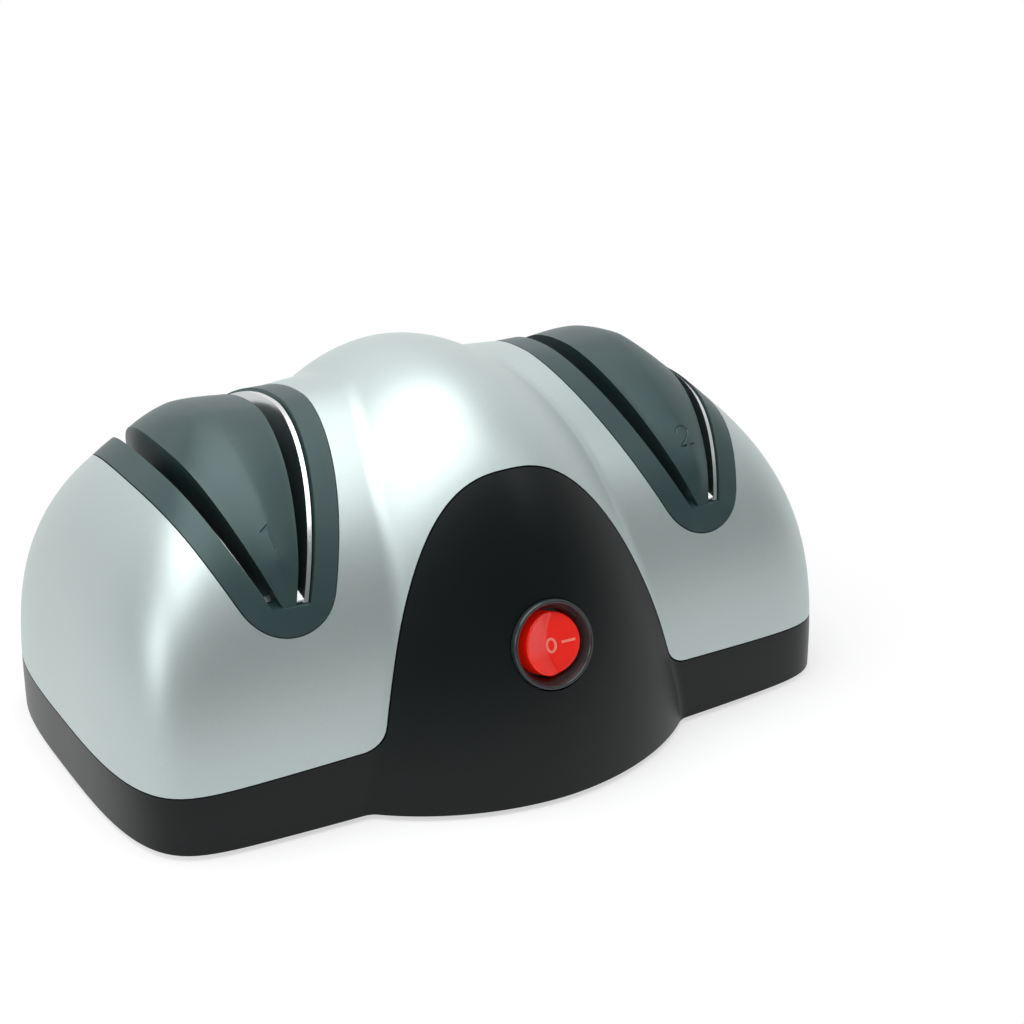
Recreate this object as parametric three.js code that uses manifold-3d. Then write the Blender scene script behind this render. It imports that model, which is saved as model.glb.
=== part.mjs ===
// Electric knife sharpener with two stages, as an assembly of its separate pieces.
// Millimetres, +Z up. The origin is the middle of the footprint at the underside of the feet.
// X runs along the sharpener, from stage 1 (-X) to stage 2 (+X), and the front faces -Y.

import * as THREE from 'three';
import { mergeVertices } from 'three/addons/utils/BufferGeometryUtils.js';
import Module from 'manifold-3d';

const wasm = await Module();
wasm.setup();

// Housing: two low wings under one central hump

const wing = {
  halfLength: 105.3,
  halfDepth: 60.6,
  endTaper: 5.2,
  height: 92.5,
  endDrop: 9.5,
  endDropPower: 1.4,
  leanRise: 14,
  leanPower: 3.4,
  planEndPower: 18.1,
  planFrontPower: 3.05,
  profileOutPower: 1.67,
  profileBackPower: 2.22,
  profileUpPower: 2.58,
};

const hump = {
  halfLength: 69.4,
  halfDepth: 77.4,
  endTaper: 0,
  height: 97.6,
  endDrop: 0,
  endDropPower: 1,
  leanRise: 0,
  leanPower: 1.48,
  planEndPower: 1.9,
  planFrontPower: 2.52,
  profileOutPower: 2.46,
  profileBackPower: 2.46,
  profileUpPower: 1.6,
};

const shell = {
  wall: 2.4,
  floor: 2.6,
  seam: 0.35,
  clearance: 0.3,
  footStand: 1.5,
};

// The line where the silver shell meets the black base, and the arch of the front panel
const parting = {
  middleHeight: 17.2,
  endHeight: 15,
  fallStart: 50,
};

const arch = {
  halfWidth: 44.9,
  height: 78.6,
  upPower: 1.53,
  outPower: 2.36,
  cornerRadius: 6,
  innermost: 20,
};

const lip = {
  thickness: 1.4,
  rise: 3,
  root: 3.5,
  bite: 0.5,
};

// Stages: each has a tongue-shaped guide with a slot on both sides of a wedge
const guide = {
  centreShare: 0.5812,
  bladeDeg: 24.3,
  floorHeight: 55.8,
  wedgeHalf: -0.9,
  webHalf: 1,
  webRise: 4,
  slotHalf: 5.2,
  rim: 5.2,
  tipRadius: 13.3,
  crownEdge: 0.5,
  crownRidge: 2,
  crownFade: 9,
  flangeReach: 2.4,
  flangeThickness: 2,
};

const plate = {
  thickness: 0.8,
  gap: 0.3,
  recess: 0.3,
  tabLength: 3.6,
  tabReach: 3.4,
  tabThickness: 0.7,
  tabInset: 1.2,
};

// The motor's line of moving pieces, along X
const axis = { height: 42 };

const wheel = {
  radius: 24,
  thickness: 10,
  chamfer: 1.2,
  pocketGap: 1,
};

const shaft = {
  radius: 3,
  endRadius: 2.5,
  tail: 1.6,
  chamfer: 0.5,
  fitGap: 0.1,
};

const wheelFlange = { radius: 8.5, thickness: 1.8, hubRadius: 5.5, relief: 0.5 };
const wheelNut = { acrossFlats: 8, thickness: 4, chamfer: 0.5 };

const rotor = { radius: 12.4, halfLength: 12, ringRadius: 10.8, ringInner: 6.5, ringDepth: 2 };

const bearing = { radius: 5, halfLength: 4.5, runningGap: 0.07, collar: 0.8, collarRadius: 6 };

const fan = {
  alongShare: 0.323,
  radius: 21.5,
  hubRadius: 6,
  hubLength: 7,
  discThickness: 1.4,
  bladeHeight: 5.2,
  bladeThickness: 1.2,
  bladeInner: 7.5,
  bladeCount: 9,
  bladeSweepDeg: 22,
};

const stator = {
  halfThickness: 12,
  boreRadius: 12.8,
  front: 20,
  halfHeight: 22,
  windowFront: 20.5,
  windowBack: 31,
  legBack: 40,
  armHeight: 8,
  cornerRadius: 2,
};

const shadingRing = { wireThickness: 1.8, overhang: 0.5, offset: 7.4, rise: 12.1, gap: 0.4 };

const coil = {
  flangeThickness: 1.4,
  flangeReach: 5,
  tubeThickness: 1,
  windingThickness: 3.4,
  cornerRadius: 2.5,
};

const bracket = {
  width: 14,
  standoff: 8,
  thickness: 3.4,
  legHeight: 7,
  bossRadius: 7.6,
  bossLength: 9.5,
  footLength: 11,
  footHeight: 17,
  footThickness: 3,
  screwOut: 17.6,
  mountOut: 7,
};

const motorScrew = { radius: 1.5, headRadius: 3, headHeight: 2.2, tail: 1.2 };
const motorNut = { acrossFlats: 5.5, thickness: 2.4, chamfer: 0.5 };
const mountScrew = { radius: 1.5, headRadius: 3, headHeight: 2.2, length: 11 };
const caseScrew = {
  radius: 1.5,
  headRadius: 3,
  headHeight: 2.2,
  length: 20,
  alongShare: 0.8737,
  acrossShare: 0.561,
  recess: 3.6,
};
const driveSlot = { width: 0.8, depth: 0.9 };

// Standing parts of the base and the shell that take the screws
const post = {
  radius: 4,
  bore: 1.8,
  seat: 10,
  baseRadius: 5.5,
  headGap: 0.6,
  motorRadius: 4.5,
  cradleThickness: 3,
  cradleHalfWidth: 10,
  cradleBack: 36,
};

const foot = {
  radius: 7,
  bottomRadius: 6.2,
  alongShare: 0.7407,
  acrossShare: 0.726,
  recess: 1.8,
  chamfer: 0.6,
};

const vent = { width: 3, length: 26, pitch: 7, count: 9, y: -32 };

const cord = {
  height: 9.6,
  bushRadius: 5.4,
  boreRadius: 3.5,
  rimRadius: 6.4,
  rimThickness: 1.6,
  inside: 6,
  seat: 0.8,
};

const rocker = {
  height: 39.6,
  leanDeg: 17,
  proud: 0.6,
  bezelRadius: 11.5,
  bezelThickness: 2,
  bezelRound: 0.7,
  mouthRadius: 10.3,
  wellRadius: 9,
  barrelRadius: 9.8,
  holeGap: 0.25,
  bodyDepth: 15,
  wellDepth: 8,
  capRadius: 8.15,
  capSink: 0.75,
  capSkirt: 5.4,
  valleyDeg: 15,
  pivotDepth: 4.6,
  pinRadius: 1,
  pinGap: 0.25,
  restDeg: -6,
  seatBoss: 13.4,
  seatDepth: 2.6,
};

const terminal = { width: 4.8, thickness: 0.8, length: 7, spacing: 7, eyeRadius: 0.8 };

// How finely round forms are divided
const steps = {
  wingRing: 36,
  wingLevels: 8,
  humpRing: 32,
  humpLevels: 8,
  insideRing: 16,
  insideLevels: 4,
  archCurve: 10,
  wheelRound: 24,
  shaftRound: 24,
  round: 16,
  smallRound: 12,
  corner: 2,
  tongueTip: 6,
  crownAcross: 10,
  crownAlong: 14,
  search: 40,
};

// Every cut runs this far past what it cuts
const overrun = 3;

const bladeTilt = THREE.MathUtils.degToRad(guide.bladeDeg);
const bladeSlope = Math.tan(bladeTilt);
const farOut = wing.halfLength + hump.halfDepth;
const guideCentre = wing.halfLength * guide.centreShare;

// Materials

function finish(color, roughness, metalness) {
  return new THREE.MeshStandardMaterial({ color, roughness, metalness });
}

const finishes = {
  silver: finish(0xc3cac9, 0.38, 0.25),
  blackAbs: finish(0x1f2223, 0.45, 0),
  greyAbs: finish(0x545e5f, 0.6, 0),
  steel: finish(0xc9cccc, 0.2, 1),
  coarseGrit: finish(0x6d6258, 0.95, 0),
  fineGrit: finish(0xb9a7a0, 0.9, 0),
  zinc: finish(0x9a9c9a, 0.45, 0.9),
  lamination: finish(0x6b6d70, 0.5, 0.8),
  aluminium: finish(0xb5b8ba, 0.4, 0.9),
  copper: finish(0xb4703f, 0.35, 0.9),
  bronze: finish(0x8c6b3c, 0.5, 0.8),
  coilTape: finish(0xd8b24a, 0.6, 0),
  nylon: finish(0xe4e2d8, 0.55, 0),
  rubber: finish(0x17181a, 0.85, 0),
  rockerRed: finish(0xe8301a, 0.25, 0),
  switchBlack: finish(0x24282a, 0.35, 0),
  brass: finish(0xc2a050, 0.3, 1),
};

// Solids and booleans

// A closed solid from a geometry whose shared corners are merged first
function solidOf(geometry) {
  const plain = geometry.clone();
  plain.deleteAttribute('normal');
  plain.deleteAttribute('uv');
  const merged = mergeVertices(plain);
  const corners = merged.index.array;
  const kept = [];
  for (let i = 0; i < corners.length; i += 3) {
    const [a, b, c] = [corners[i], corners[i + 1], corners[i + 2]];
    if (a !== b && b !== c && c !== a) kept.push(a, b, c);
  }
  const vertProperties = new Float32Array(merged.attributes.position.array);
  const mesh = new wasm.Mesh({ numProp: 3, vertProperties, triVerts: new Uint32Array(kept) });
  return new wasm.Manifold(mesh);
}

function geometryOf(solid) {
  const mesh = solid.getMesh();
  const geometry = new THREE.BufferGeometry();
  geometry.setAttribute('position', new THREE.BufferAttribute(new Float32Array(mesh.vertProperties), 3));
  geometry.setIndex(new THREE.BufferAttribute(new Uint32Array(mesh.triVerts), 1));
  geometry.computeVertexNormals();
  return geometry;
}

function join(...solids) {
  return solids.reduce((sum, next) => sum.add(next));
}

function cut(body, ...tools) {
  return tools.reduce((rest, tool) => rest.subtract(tool), body);
}

// A box between two corners
function blockBetween(low, high) {
  const [x, y, z] = [0, 1, 2].map((i) => (low[i] + high[i]) / 2);
  const geometry = new THREE.BoxGeometry(high[0] - low[0], high[1] - low[1], high[2] - low[2]);
  return solidOf(geometry.translate(x, y, z));
}

// A lathe profile of [radius, height] points, turned about +Y and then laid along the named axis
function turned(profile, direction, sides = steps.round) {
  const geometry = new THREE.LatheGeometry(profile.map(([r, h]) => new THREE.Vector2(r, h)), sides);
  if (direction === 'x') geometry.rotateZ(-Math.PI / 2);
  if (direction === 'z') geometry.rotateX(Math.PI / 2);
  return geometry;
}

// A plain round bar from one height to another along an axis
function bar(radius, from, to, direction, sides = steps.round) {
  const profile = [[0, from], [radius, from], [radius, to], [0, to]];
  return solidOf(turned(profile, direction, sides));
}

// A round hole or pin of the small kind, upright at a place
function pinAt([x, y], radius, from, to) {
  return bar(radius, from, to, 'z', steps.smallRound).translate([x, y, 0]);
}

function movedBy(solid, x, y, z) {
  return solid.translate([x, y, z]);
}

// An outline in the XZ plane pulled along Y, from the front face to the back one
function pulledAlongY(shape, front, back) {
  const geometry = new THREE.ExtrudeGeometry(shape, { depth: back - front, bevelEnabled: false });
  geometry.rotateX(Math.PI / 2);
  return solidOf(geometry.translate(0, back, 0));
}

// An outline in the YZ plane pulled along X
function pulledAlongX(shape, left, right) {
  const pull = { depth: right - left, bevelEnabled: false, curveSegments: steps.corner };
  const geometry = new THREE.ExtrudeGeometry(shape, pull);
  const toYz = new THREE.Matrix4().makeBasis(
    new THREE.Vector3(0, 1, 0),
    new THREE.Vector3(0, 0, 1),
    new THREE.Vector3(1, 0, 0),
  );
  geometry.applyMatrix4(toYz);
  return solidOf(geometry.translate(left, 0, 0));
}

function polygon(points) {
  return new THREE.Shape(points.map(([x, y]) => new THREE.Vector2(x, y)));
}

// Housing surfaces

// How far along a ray at this angle the unit superellipse lies
function superRadius(angle, acrossPower, upPower) {
  const across = Math.abs(Math.cos(angle));
  const up = Math.abs(Math.sin(angle));
  let inside = 0;
  let outside = 2;
  for (let i = 0; i < steps.search; i += 1) {
    const middle = (inside + outside) / 2;
    if ((middle * across) ** acrossPower + (middle * up) ** upPower > 1) outside = middle;
    else inside = middle;
  }
  return inside;
}

// One loaf-shaped body, its walls drawn in by the inset
function loaf(form, inset, ringSteps, levelSteps) {
  const halfLength = form.halfLength - inset;
  const halfDepth = form.halfDepth - inset;
  const height = form.height - inset;
  const leanHeight = height + form.leanRise;
  const points = [new THREE.Vector3(0, 0, 0)];
  for (let level = 0; level <= levelSteps; level += 1) {
    const rise = (Math.PI / 2) * (level / levelSteps);
    const frontReach = superRadius(rise, form.profileOutPower, form.profileUpPower);
    const backReach = superRadius(rise, form.profileBackPower, form.profileUpPower);
    for (let i = 0; i < ringSteps; i += 1) {
      const behind = i > 0 && i < ringSteps / 2;
      const reach = behind ? backReach : frontReach;
      const outShare = level === levelSteps ? 0 : reach * Math.cos(rise);
      const upShare = reach * Math.sin(rise);
      const leanShare = Math.sqrt(Math.max(1 - (upShare * height / leanHeight) ** form.leanPower, 0));
      const turn = 2 * Math.PI * (i / ringSteps);
      const ray = superRadius(turn, form.planEndPower, form.planFrontPower);
      const alongShare = leanShare * ray * Math.cos(turn);
      const acrossShare = ray * Math.sin(turn);
      const depth = halfDepth - form.endTaper * alongShare ** 2;
      const top = height - form.endDrop * Math.abs(alongShare) ** form.endDropPower;
      points.push(new THREE.Vector3(halfLength * alongShare, depth * outShare * acrossShare, top * upShare));
    }
  }
  const faces = [];
  for (let i = 0; i < ringSteps; i += 1) {
    const next = (i + 1) % ringSteps;
    faces.push(0, 1 + next, 1 + i);
    for (let level = 0; level < levelSteps; level += 1) {
      const low = 1 + level * ringSteps;
      const high = low + ringSteps;
      faces.push(low + i, low + next, high + next, low + i, high + next, high + i);
    }
  }
  return solidOf(new THREE.BufferGeometry().setFromPoints(points).setIndex(faces));
}

// The whole outside, or the inside of a wall of that thickness
function bodyAt(inset) {
  if (inset > 0) {
    const wings = loaf(wing, inset, steps.insideRing, steps.insideLevels);
    return wings.add(loaf(hump, inset, steps.insideRing, steps.insideLevels));
  }
  return loaf(wing, 0, steps.wingRing, steps.wingLevels).add(loaf(hump, 0, steps.humpRing, steps.humpLevels));
}

const outside = bodyAt(0);
const inside = bodyAt(shell.wall);

// Height of the parting line at a place along X
function partingAt(x) {
  const run = Math.max(Math.abs(x) - parting.fallStart, 0) / (wing.halfLength - parting.fallStart);
  return parting.middleHeight - run * (parting.middleHeight - parting.endHeight);
}

// Everything below the parting line, raised by an offset
function belowParting(offset) {
  const ends = [-farOut, -parting.fallStart, parting.fallStart, farOut];
  const line = ends.map((x) => [x, partingAt(x) + offset]);
  const outline = polygon([[-farOut, -overrun], [farOut, -overrun], ...line.reverse()]);
  return pulledAlongY(outline, -farOut, farOut);
}

// Half width of the arch at a height
function archHalfWidth(z, grow) {
  const share = Math.min(z / (arch.height + grow), 1);
  return (arch.halfWidth + grow) * (1 - share ** arch.upPower) ** (1 / arch.outPower);
}

// The front panel's outline: the arch, flared into the parting line by rounded corners
function archRegion(grow) {
  const foot = parting.middleHeight + grow;
  const springing = foot + arch.cornerRadius;
  const edge = archHalfWidth(springing, grow);
  const side = [];
  for (let i = 0; i <= steps.archCurve; i += 1) {
    const up = 1 - (1 - i / steps.archCurve) ** 2;
    const z = springing + (arch.height + grow - springing) * up;
    side.push([archHalfWidth(z, grow), z]);
  }
  const outline = new THREE.Shape();
  const corner = archHalfWidth(foot, grow);
  const flare = corner + arch.cornerRadius;
  outline.moveTo(-flare, foot - overrun);
  outline.lineTo(flare, foot - overrun);
  outline.lineTo(flare, foot);
  outline.quadraticCurveTo(corner, foot, edge, springing);
  side.slice(1).forEach(([x, z]) => outline.lineTo(x, z));
  side.slice(1, -1).reverse().forEach(([x, z]) => outline.lineTo(-x, z));
  outline.lineTo(-edge, springing);
  outline.quadraticCurveTo(-corner, foot, -flare, foot);
  return pulledAlongY(outline, -farOut, -arch.innermost);
}

// The space that the base takes, grown by a seam for the shell's cut
function baseSpace(grow) {
  return belowParting(grow).add(archRegion(grow));
}

// The tongue of a stage in the XZ plane: a V at the blade's angle with a round tip, or with a flat floor
const tongueTop = wing.height + guide.crownEdge + guide.crownRidge + overrun;

function tongue(halfAtFloor, tipRadius) {
  const wide = halfAtFloor + (tongueTop - guide.floorHeight) * bladeSlope;
  const centre = guide.floorHeight + (tipRadius / Math.cos(bladeTilt) - halfAtFloor) / bladeSlope;
  const points = [[wide, tongueTop], [-wide, tongueTop]];
  for (let i = 0; i <= steps.tongueTip; i += 1) {
    const turn = Math.PI + bladeTilt + (Math.PI - 2 * bladeTilt) * (i / steps.tongueTip);
    points.push([tipRadius * Math.cos(turn), centre + tipRadius * Math.sin(turn)]);
  }
  return polygon(points);
}

function flatTongue(halfAtFloor, floor) {
  const top = tongueTop;
  const half = (z) => halfAtFloor + (z - guide.floorHeight) * bladeSlope;
  return polygon([[-half(floor), floor], [half(floor), floor], [half(top), top], [-half(top), top]]);
}

function alongDepth(outline) {
  return pulledAlongY(outline, -hump.halfDepth, hump.halfDepth);
}

const tongueHalf = guide.slotHalf + plate.thickness + plate.gap + guide.rim;

// The space that a guide takes, grown by a clearance
function tongueSpace(grow) {
  return alongDepth(tongue(tongueHalf + grow / Math.cos(bladeTilt), guide.tipRadius + grow));
}

// Base: band, floor and front panel in one moulding

// The four places, one in each corner, at these shares of the wings' half length and half depth
function cornerPlaces({ alongShare, acrossShare }) {
  const [x, y] = [wing.halfLength * alongShare, wing.halfDepth * acrossShare];
  return [-1, 1].flatMap((sx) => [-1, 1].map((sy) => [sx * x, sy * y]));
}

function lipRing() {
  const outerFace = shell.wall + shell.clearance;
  const bore = bodyAt(outerFace + lip.thickness);
  const upper = bodyAt(outerFace).subtract(bore).intersect(belowParting(lip.rise));
  const lower = bodyAt(shell.wall - lip.bite).subtract(bore).intersect(belowParting(-lip.bite));
  return upper.add(lower).subtract(belowParting(-lip.root));
}

// Direction of the switch: out of the front panel, leaning back
const switchTurn = Math.PI - THREE.MathUtils.degToRad(rocker.leanDeg);

function frontAt(z) {
  const upShare = z / hump.height;
  return hump.halfDepth * (1 - upShare ** hump.profileUpPower) ** (1 / hump.profileOutPower);
}

const switchPlace = new THREE.Vector3(0, -frontAt(rocker.height) - rocker.proud, rocker.height);

// A round bar about the switch's axis, between two distances out of its bezel
function switchBar(radius, from, to) {
  const geometry = turned([[0, from], [radius, from], [radius, to], [0, to]], 'y');
  geometry.rotateX(switchTurn);
  return solidOf(geometry.translate(switchPlace.x, switchPlace.y, switchPlace.z));
}

function stadium(width, length) {
  const outline = new THREE.Shape();
  const straight = (length - width) / 2;
  outline.absarc(0, straight, width / 2, 0, Math.PI, false);
  outline.absarc(0, -straight, width / 2, Math.PI, 2 * Math.PI, false);
  return outline;
}

function ventCuts() {
  const slot = new THREE.ExtrudeGeometry(stadium(vent.width, vent.length), {
    depth: shell.floor + 2 * overrun,
    bevelEnabled: false,
    curveSegments: steps.corner,
  });
  const one = solidOf(slot.translate(0, vent.y, -overrun));
  const first = -(vent.count - 1) / 2;
  return Array.from({ length: vent.count }, (_, i) => movedBy(one, (first + i) * vent.pitch, 0, 0));
}

// The flat seat for the cord bush, let into the back of the hump
const humpBackShare = (1 - (cord.height / hump.height) ** hump.profileUpPower) ** (1 / hump.profileBackPower);
const cordSeat = hump.halfDepth * humpBackShare - cord.seat;

function baseShell() {
  const hollow = inside.intersect(blockBetween([-farOut, -farOut, shell.floor], [farOut, farOut, farOut]));
  let body = outside.intersect(baseSpace(0)).subtract(hollow);
  body = join(body, lipRing());
  const seat = -rocker.bezelThickness;
  const boss = switchBar(rocker.seatBoss, seat - rocker.seatDepth, -rocker.proud);
  body = join(body, boss.intersect(bodyAt(lip.bite)).intersect(baseSpace(0)));
  body = cut(body, switchBar(rocker.bezelRadius + shell.clearance, seat - rocker.proud / 2, overrun));
  body = cut(body, switchBar(rocker.barrelRadius + rocker.holeGap, -rocker.bodyDepth, overrun));
  const headRoom = caseScrew.recess + caseScrew.headHeight + shell.clearance / 2;
  for (const place of cornerPlaces(caseScrew)) {
    body = join(body, pinAt(place, post.baseRadius, shell.floor / 2, post.seat));
    body = cut(body, pinAt(place, caseScrew.headRadius + post.headGap, -overrun, headRoom));
    body = cut(body, pinAt(place, post.bore, 0, post.seat + overrun));
  }
  for (const side of [-1, 1]) {
    const place = [side * mountX, 0];
    body = join(body, pinAt(place, post.motorRadius, shell.floor / 2, bracket.footHeight - shell.clearance));
    body = cut(body, pinAt(place, post.bore, shell.floor, bracket.footHeight + overrun));
  }
  const cradleTop = axis.height - stator.halfHeight - shell.clearance;
  body = join(body, blockBetween(
    [-post.cradleHalfWidth, post.cradleBack - post.cradleThickness, shell.floor / 2],
    [post.cradleHalfWidth, post.cradleBack, cradleTop],
  ));
  for (const place of cornerPlaces(foot)) {
    body = cut(body, pinAt(place, foot.radius + shell.clearance, -overrun, foot.recess));
  }
  body = cut(body, ...ventCuts());
  const hole = bar(cord.bushRadius + shell.clearance, cordSeat - 2 * cord.inside, cordSeat + overrun, 'y');
  const seatCut = bar(cord.rimRadius + shell.clearance, cordSeat, cordSeat + overrun, 'y');
  return cut(body, movedBy(hole, 0, 0, cord.height), movedBy(seatCut, 0, 0, cord.height));
}

// Shell: both wings and the hump in one moulding, open below and at the two stages

function topShell() {
  let body = cut(outside.subtract(inside), belowParting(shell.seam), archRegion(shell.seam));
  const roof = bodyAt(shell.wall / 2);
  const boreEnd = caseScrew.recess + caseScrew.headHeight + caseScrew.length + overrun;
  for (const place of cornerPlaces(caseScrew)) {
    const column = pinAt(place, post.radius, post.seat + shell.clearance, wing.height);
    body = join(body, column.intersect(roof));
    body = cut(body, pinAt(place, post.bore, 0, boreEnd));
  }
  const stageHole = tongueSpace(shell.clearance);
  for (const side of [-1, 1]) body = cut(body, movedBy(stageHole, side * guideCentre, 0, 0));
  return body;
}

// Guides

// Half depth of the wings' front or back at a place along X and a height, zero past their surface
function wingHalfDepth(x, z, behind) {
  const alongShare = Math.abs(x) / wing.halfLength;
  const upShare = z / (wing.height - wing.endDrop * alongShare ** wing.endDropPower);
  const leanHeight = wing.height + wing.leanRise;
  const leanShare = Math.sqrt(Math.max(1 - (upShare * wing.height / leanHeight) ** wing.leanPower, 0));
  const outPower = behind ? wing.profileBackPower : wing.profileOutPower;
  const outShare = Math.max(1 - upShare ** wing.profileUpPower, 0) ** (1 / outPower);
  if (leanShare <= alongShare) return 0;
  const endShare = (1 - (alongShare / leanShare) ** wing.planEndPower) ** (1 / wing.planFrontPower);
  return (wing.halfDepth - wing.endTaper * alongShare ** 2) * outShare * endShare;
}

// How far the wings' surface lies from the X axis, at a place along X and an angle in the YZ plane
function wingReach(x, angle) {
  const behind = Math.cos(angle) < 0;
  let near = 0;
  let far = wing.halfDepth + wing.height;
  for (let i = 0; i < steps.search; i += 1) {
    const middle = (near + far) / 2;
    const halfDepth = wingHalfDepth(x, middle * Math.sin(angle), behind);
    if (Math.abs(middle * Math.cos(angle)) > halfDepth) far = middle;
    else near = middle;
  }
  return near;
}

// The space under the wedge's crown: the wings' surface lifted into a soft ridge along the stage's middle
function crownSpace(side) {
  const across = steps.crownAcross;
  const along = steps.crownAlong;
  const widest = tongueHalf + (wing.height - guide.floorHeight) * bladeSlope;
  const points = [];
  for (let j = 0; j <= along; j += 1) {
    const angle = Math.PI * (j / along);
    for (let i = 0; i <= across; i += 1) {
      const x = widest * (2 * (i / across) - 1);
      const reach = wingReach(side * guideCentre + x, angle);
      const z = reach * Math.sin(angle);
      const half = Math.max((z - guide.floorHeight) * bladeSlope, guide.webHalf);
      const ridgeShare = 1 - Math.min(Math.abs(x) / half, 1);
      const fadeShare = THREE.MathUtils.smoothstep(z, guide.floorHeight, guide.floorHeight + guide.crownFade);
      const lifted = reach + (guide.crownEdge + guide.crownRidge * ridgeShare) * fadeShare;
      points.push(new THREE.Vector3(x, -lifted * Math.cos(angle), lifted * Math.sin(angle)));
    }
  }
  const row = across + 1;
  const faces = [];
  const rim = [];
  for (let j = 0; j < along; j += 1) {
    for (let i = 0; i < across; i += 1) {
      const a = j * row + i;
      faces.push(a, a + 1, a + row + 1, a, a + row + 1, a + row);
    }
  }
  for (let i = 0; i < across; i += 1) rim.push(i);
  for (let j = 0; j < along; j += 1) rim.push(j * row + across);
  for (let i = across; i > 0; i -= 1) rim.push(along * row + i);
  for (let j = along; j > 0; j -= 1) rim.push(j * row);
  const middle = points.push(new THREE.Vector3(0, 0, -guide.crownRidge)) - 1;
  rim.forEach((corner, i) => faces.push(corner, middle, rim[(i + 1) % rim.length]));
  return solidOf(new THREE.BufferGeometry().setFromPoints(points).setIndex(faces));
}

function guideInsert(side) {
  const place = (solid) => movedBy(solid, side * guideCentre, 0, 0);
  const away = (solid) => movedBy(solid, -side * guideCentre, 0, 0);
  const surface = away(outside);
  const floor = guide.floorHeight;
  const tongueBlock = tongueSpace(0).intersect(surface);
  const slots = alongDepth(flatTongue(guide.slotHalf + plate.thickness + plate.gap, floor));
  const webFoot = [-guide.webHalf, -farOut, floor - overrun];
  const web = blockBetween(webFoot, [guide.webHalf, farOut, floor + guide.webRise]);
  const wedgeV = alongDepth(flatTongue(guide.wedgeHalf, floor - guide.wedgeHalf / bladeSlope));
  const wedge = wedgeV.add(web).intersect(crownSpace(side));
  let body = cut(tongueBlock, slots).add(wedge);
  const under = bodyAt(shell.wall + shell.clearance);
  const deeper = bodyAt(shell.wall + shell.clearance + guide.flangeThickness);
  const flange = away(under.subtract(deeper)).intersect(tongueSpace(guide.flangeReach));
  body = body.add(cut(flange, slots));
  const pocket = bar(
    wheel.radius + wheel.pocketGap,
    -wheel.thickness / 2 - wheel.pocketGap,
    wheel.thickness / 2 + wheel.pocketGap,
    'x',
  );
  body = cut(body, movedBy(pocket, 0, 0, axis.height));
  return place(body);
}

// A steel plate along the outer wall of one slot, with a tab across the slot's floor at each end
function guidePlate(stageSide, slotSide) {
  const floor = guide.floorHeight + shell.clearance;
  const outer = alongDepth(flatTongue(guide.slotHalf + plate.thickness, floor));
  const inner = alongDepth(flatTongue(guide.slotHalf, floor - overrun));
  const cover = movedBy(bodyAt(plate.recess), -stageSide * guideCentre, 0, 0);
  const half = slotSide > 0
    ? blockBetween([0, -farOut, 0], [farOut, farOut, farOut])
    : blockBetween([-farOut, -farOut, 0], [0, farOut, farOut]);
  let body = outer.subtract(inner).intersect(half);
  const slotX = guideCentre + stageSide * slotSide * (guide.slotHalf + plate.thickness);
  for (const end of [-1, 1]) {
    const reach = wingHalfDepth(slotX, floor + plate.tabThickness, end > 0);
    const tip = end * (reach - plate.tabInset);
    const root = tip - end * plate.tabLength;
    const [front, back] = [Math.min(tip, root), Math.max(tip, root)];
    const outerX = guide.slotHalf + plate.thickness / 2;
    const innerX = outerX - plate.tabReach;
    const [left, right] = slotSide > 0 ? [innerX, outerX] : [-outerX, -innerX];
    body = body.add(blockBetween([left, front, floor], [right, back, floor + plate.tabThickness]));
  }
  return movedBy(body.intersect(cover), stageSide * guideCentre, 0, 0);
}

// Wheels and what clamps them

function grindingWheel() {
  const half = wheel.thickness / 2;
  const bore = shaft.endRadius + shaft.fitGap;
  return turned([
    [bore, -half],
    [wheel.radius - wheel.chamfer, -half],
    [wheel.radius, -half + wheel.chamfer],
    [wheel.radius, half - wheel.chamfer],
    [wheel.radius - wheel.chamfer, half],
    [bore, half],
    [bore, -half],
  ], 'x', steps.wheelRound);
}

// A dished steel flange that bears on the wheel near its own edge
function clampFlange(facing) {
  const bore = shaft.endRadius + shaft.fitGap;
  const outer = facing * wheelFlange.thickness;
  const profile = [
    [bore, facing * wheelFlange.relief],
    [wheelFlange.hubRadius, facing * wheelFlange.relief],
    [wheelFlange.radius - wheelFlange.thickness, 0],
    [wheelFlange.radius, 0],
    [wheelFlange.radius, outer / 2],
    [wheelFlange.hubRadius, outer],
    [bore, outer],
    [bore, facing * wheelFlange.relief],
  ];
  return turned(facing > 0 ? profile : profile.reverse(), 'x', steps.smallRound);
}

// A hexagon nut with both faces chamfered, along X
function hexNut({ acrossFlats, thickness, chamfer }, boreRadius) {
  const corner = acrossFlats / Math.sqrt(3);
  const hexagon = turned([[0, 0], [corner, 0], [corner, thickness], [0, thickness]], 'x', 6);
  const rounded = turned([
    [0, 0],
    [corner - chamfer, 0],
    [corner, chamfer],
    [corner, thickness - chamfer],
    [corner - chamfer, thickness],
    [0, thickness],
  ], 'x', steps.smallRound);
  const bore = bar(boreRadius, -overrun, thickness + overrun, 'x', steps.smallRound);
  return geometryOf(solidOf(hexagon).intersect(solidOf(rounded)).subtract(bore));
}

// Motor

// Each wheel is clamped between its flanges against a shoulder of the shaft, by a nut near the shaft's end
const wheelFace = wheel.thickness / 2 + shaft.fitGap;
const flangeFace = wheelFace + wheelFlange.thickness + shaft.fitGap;

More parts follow.
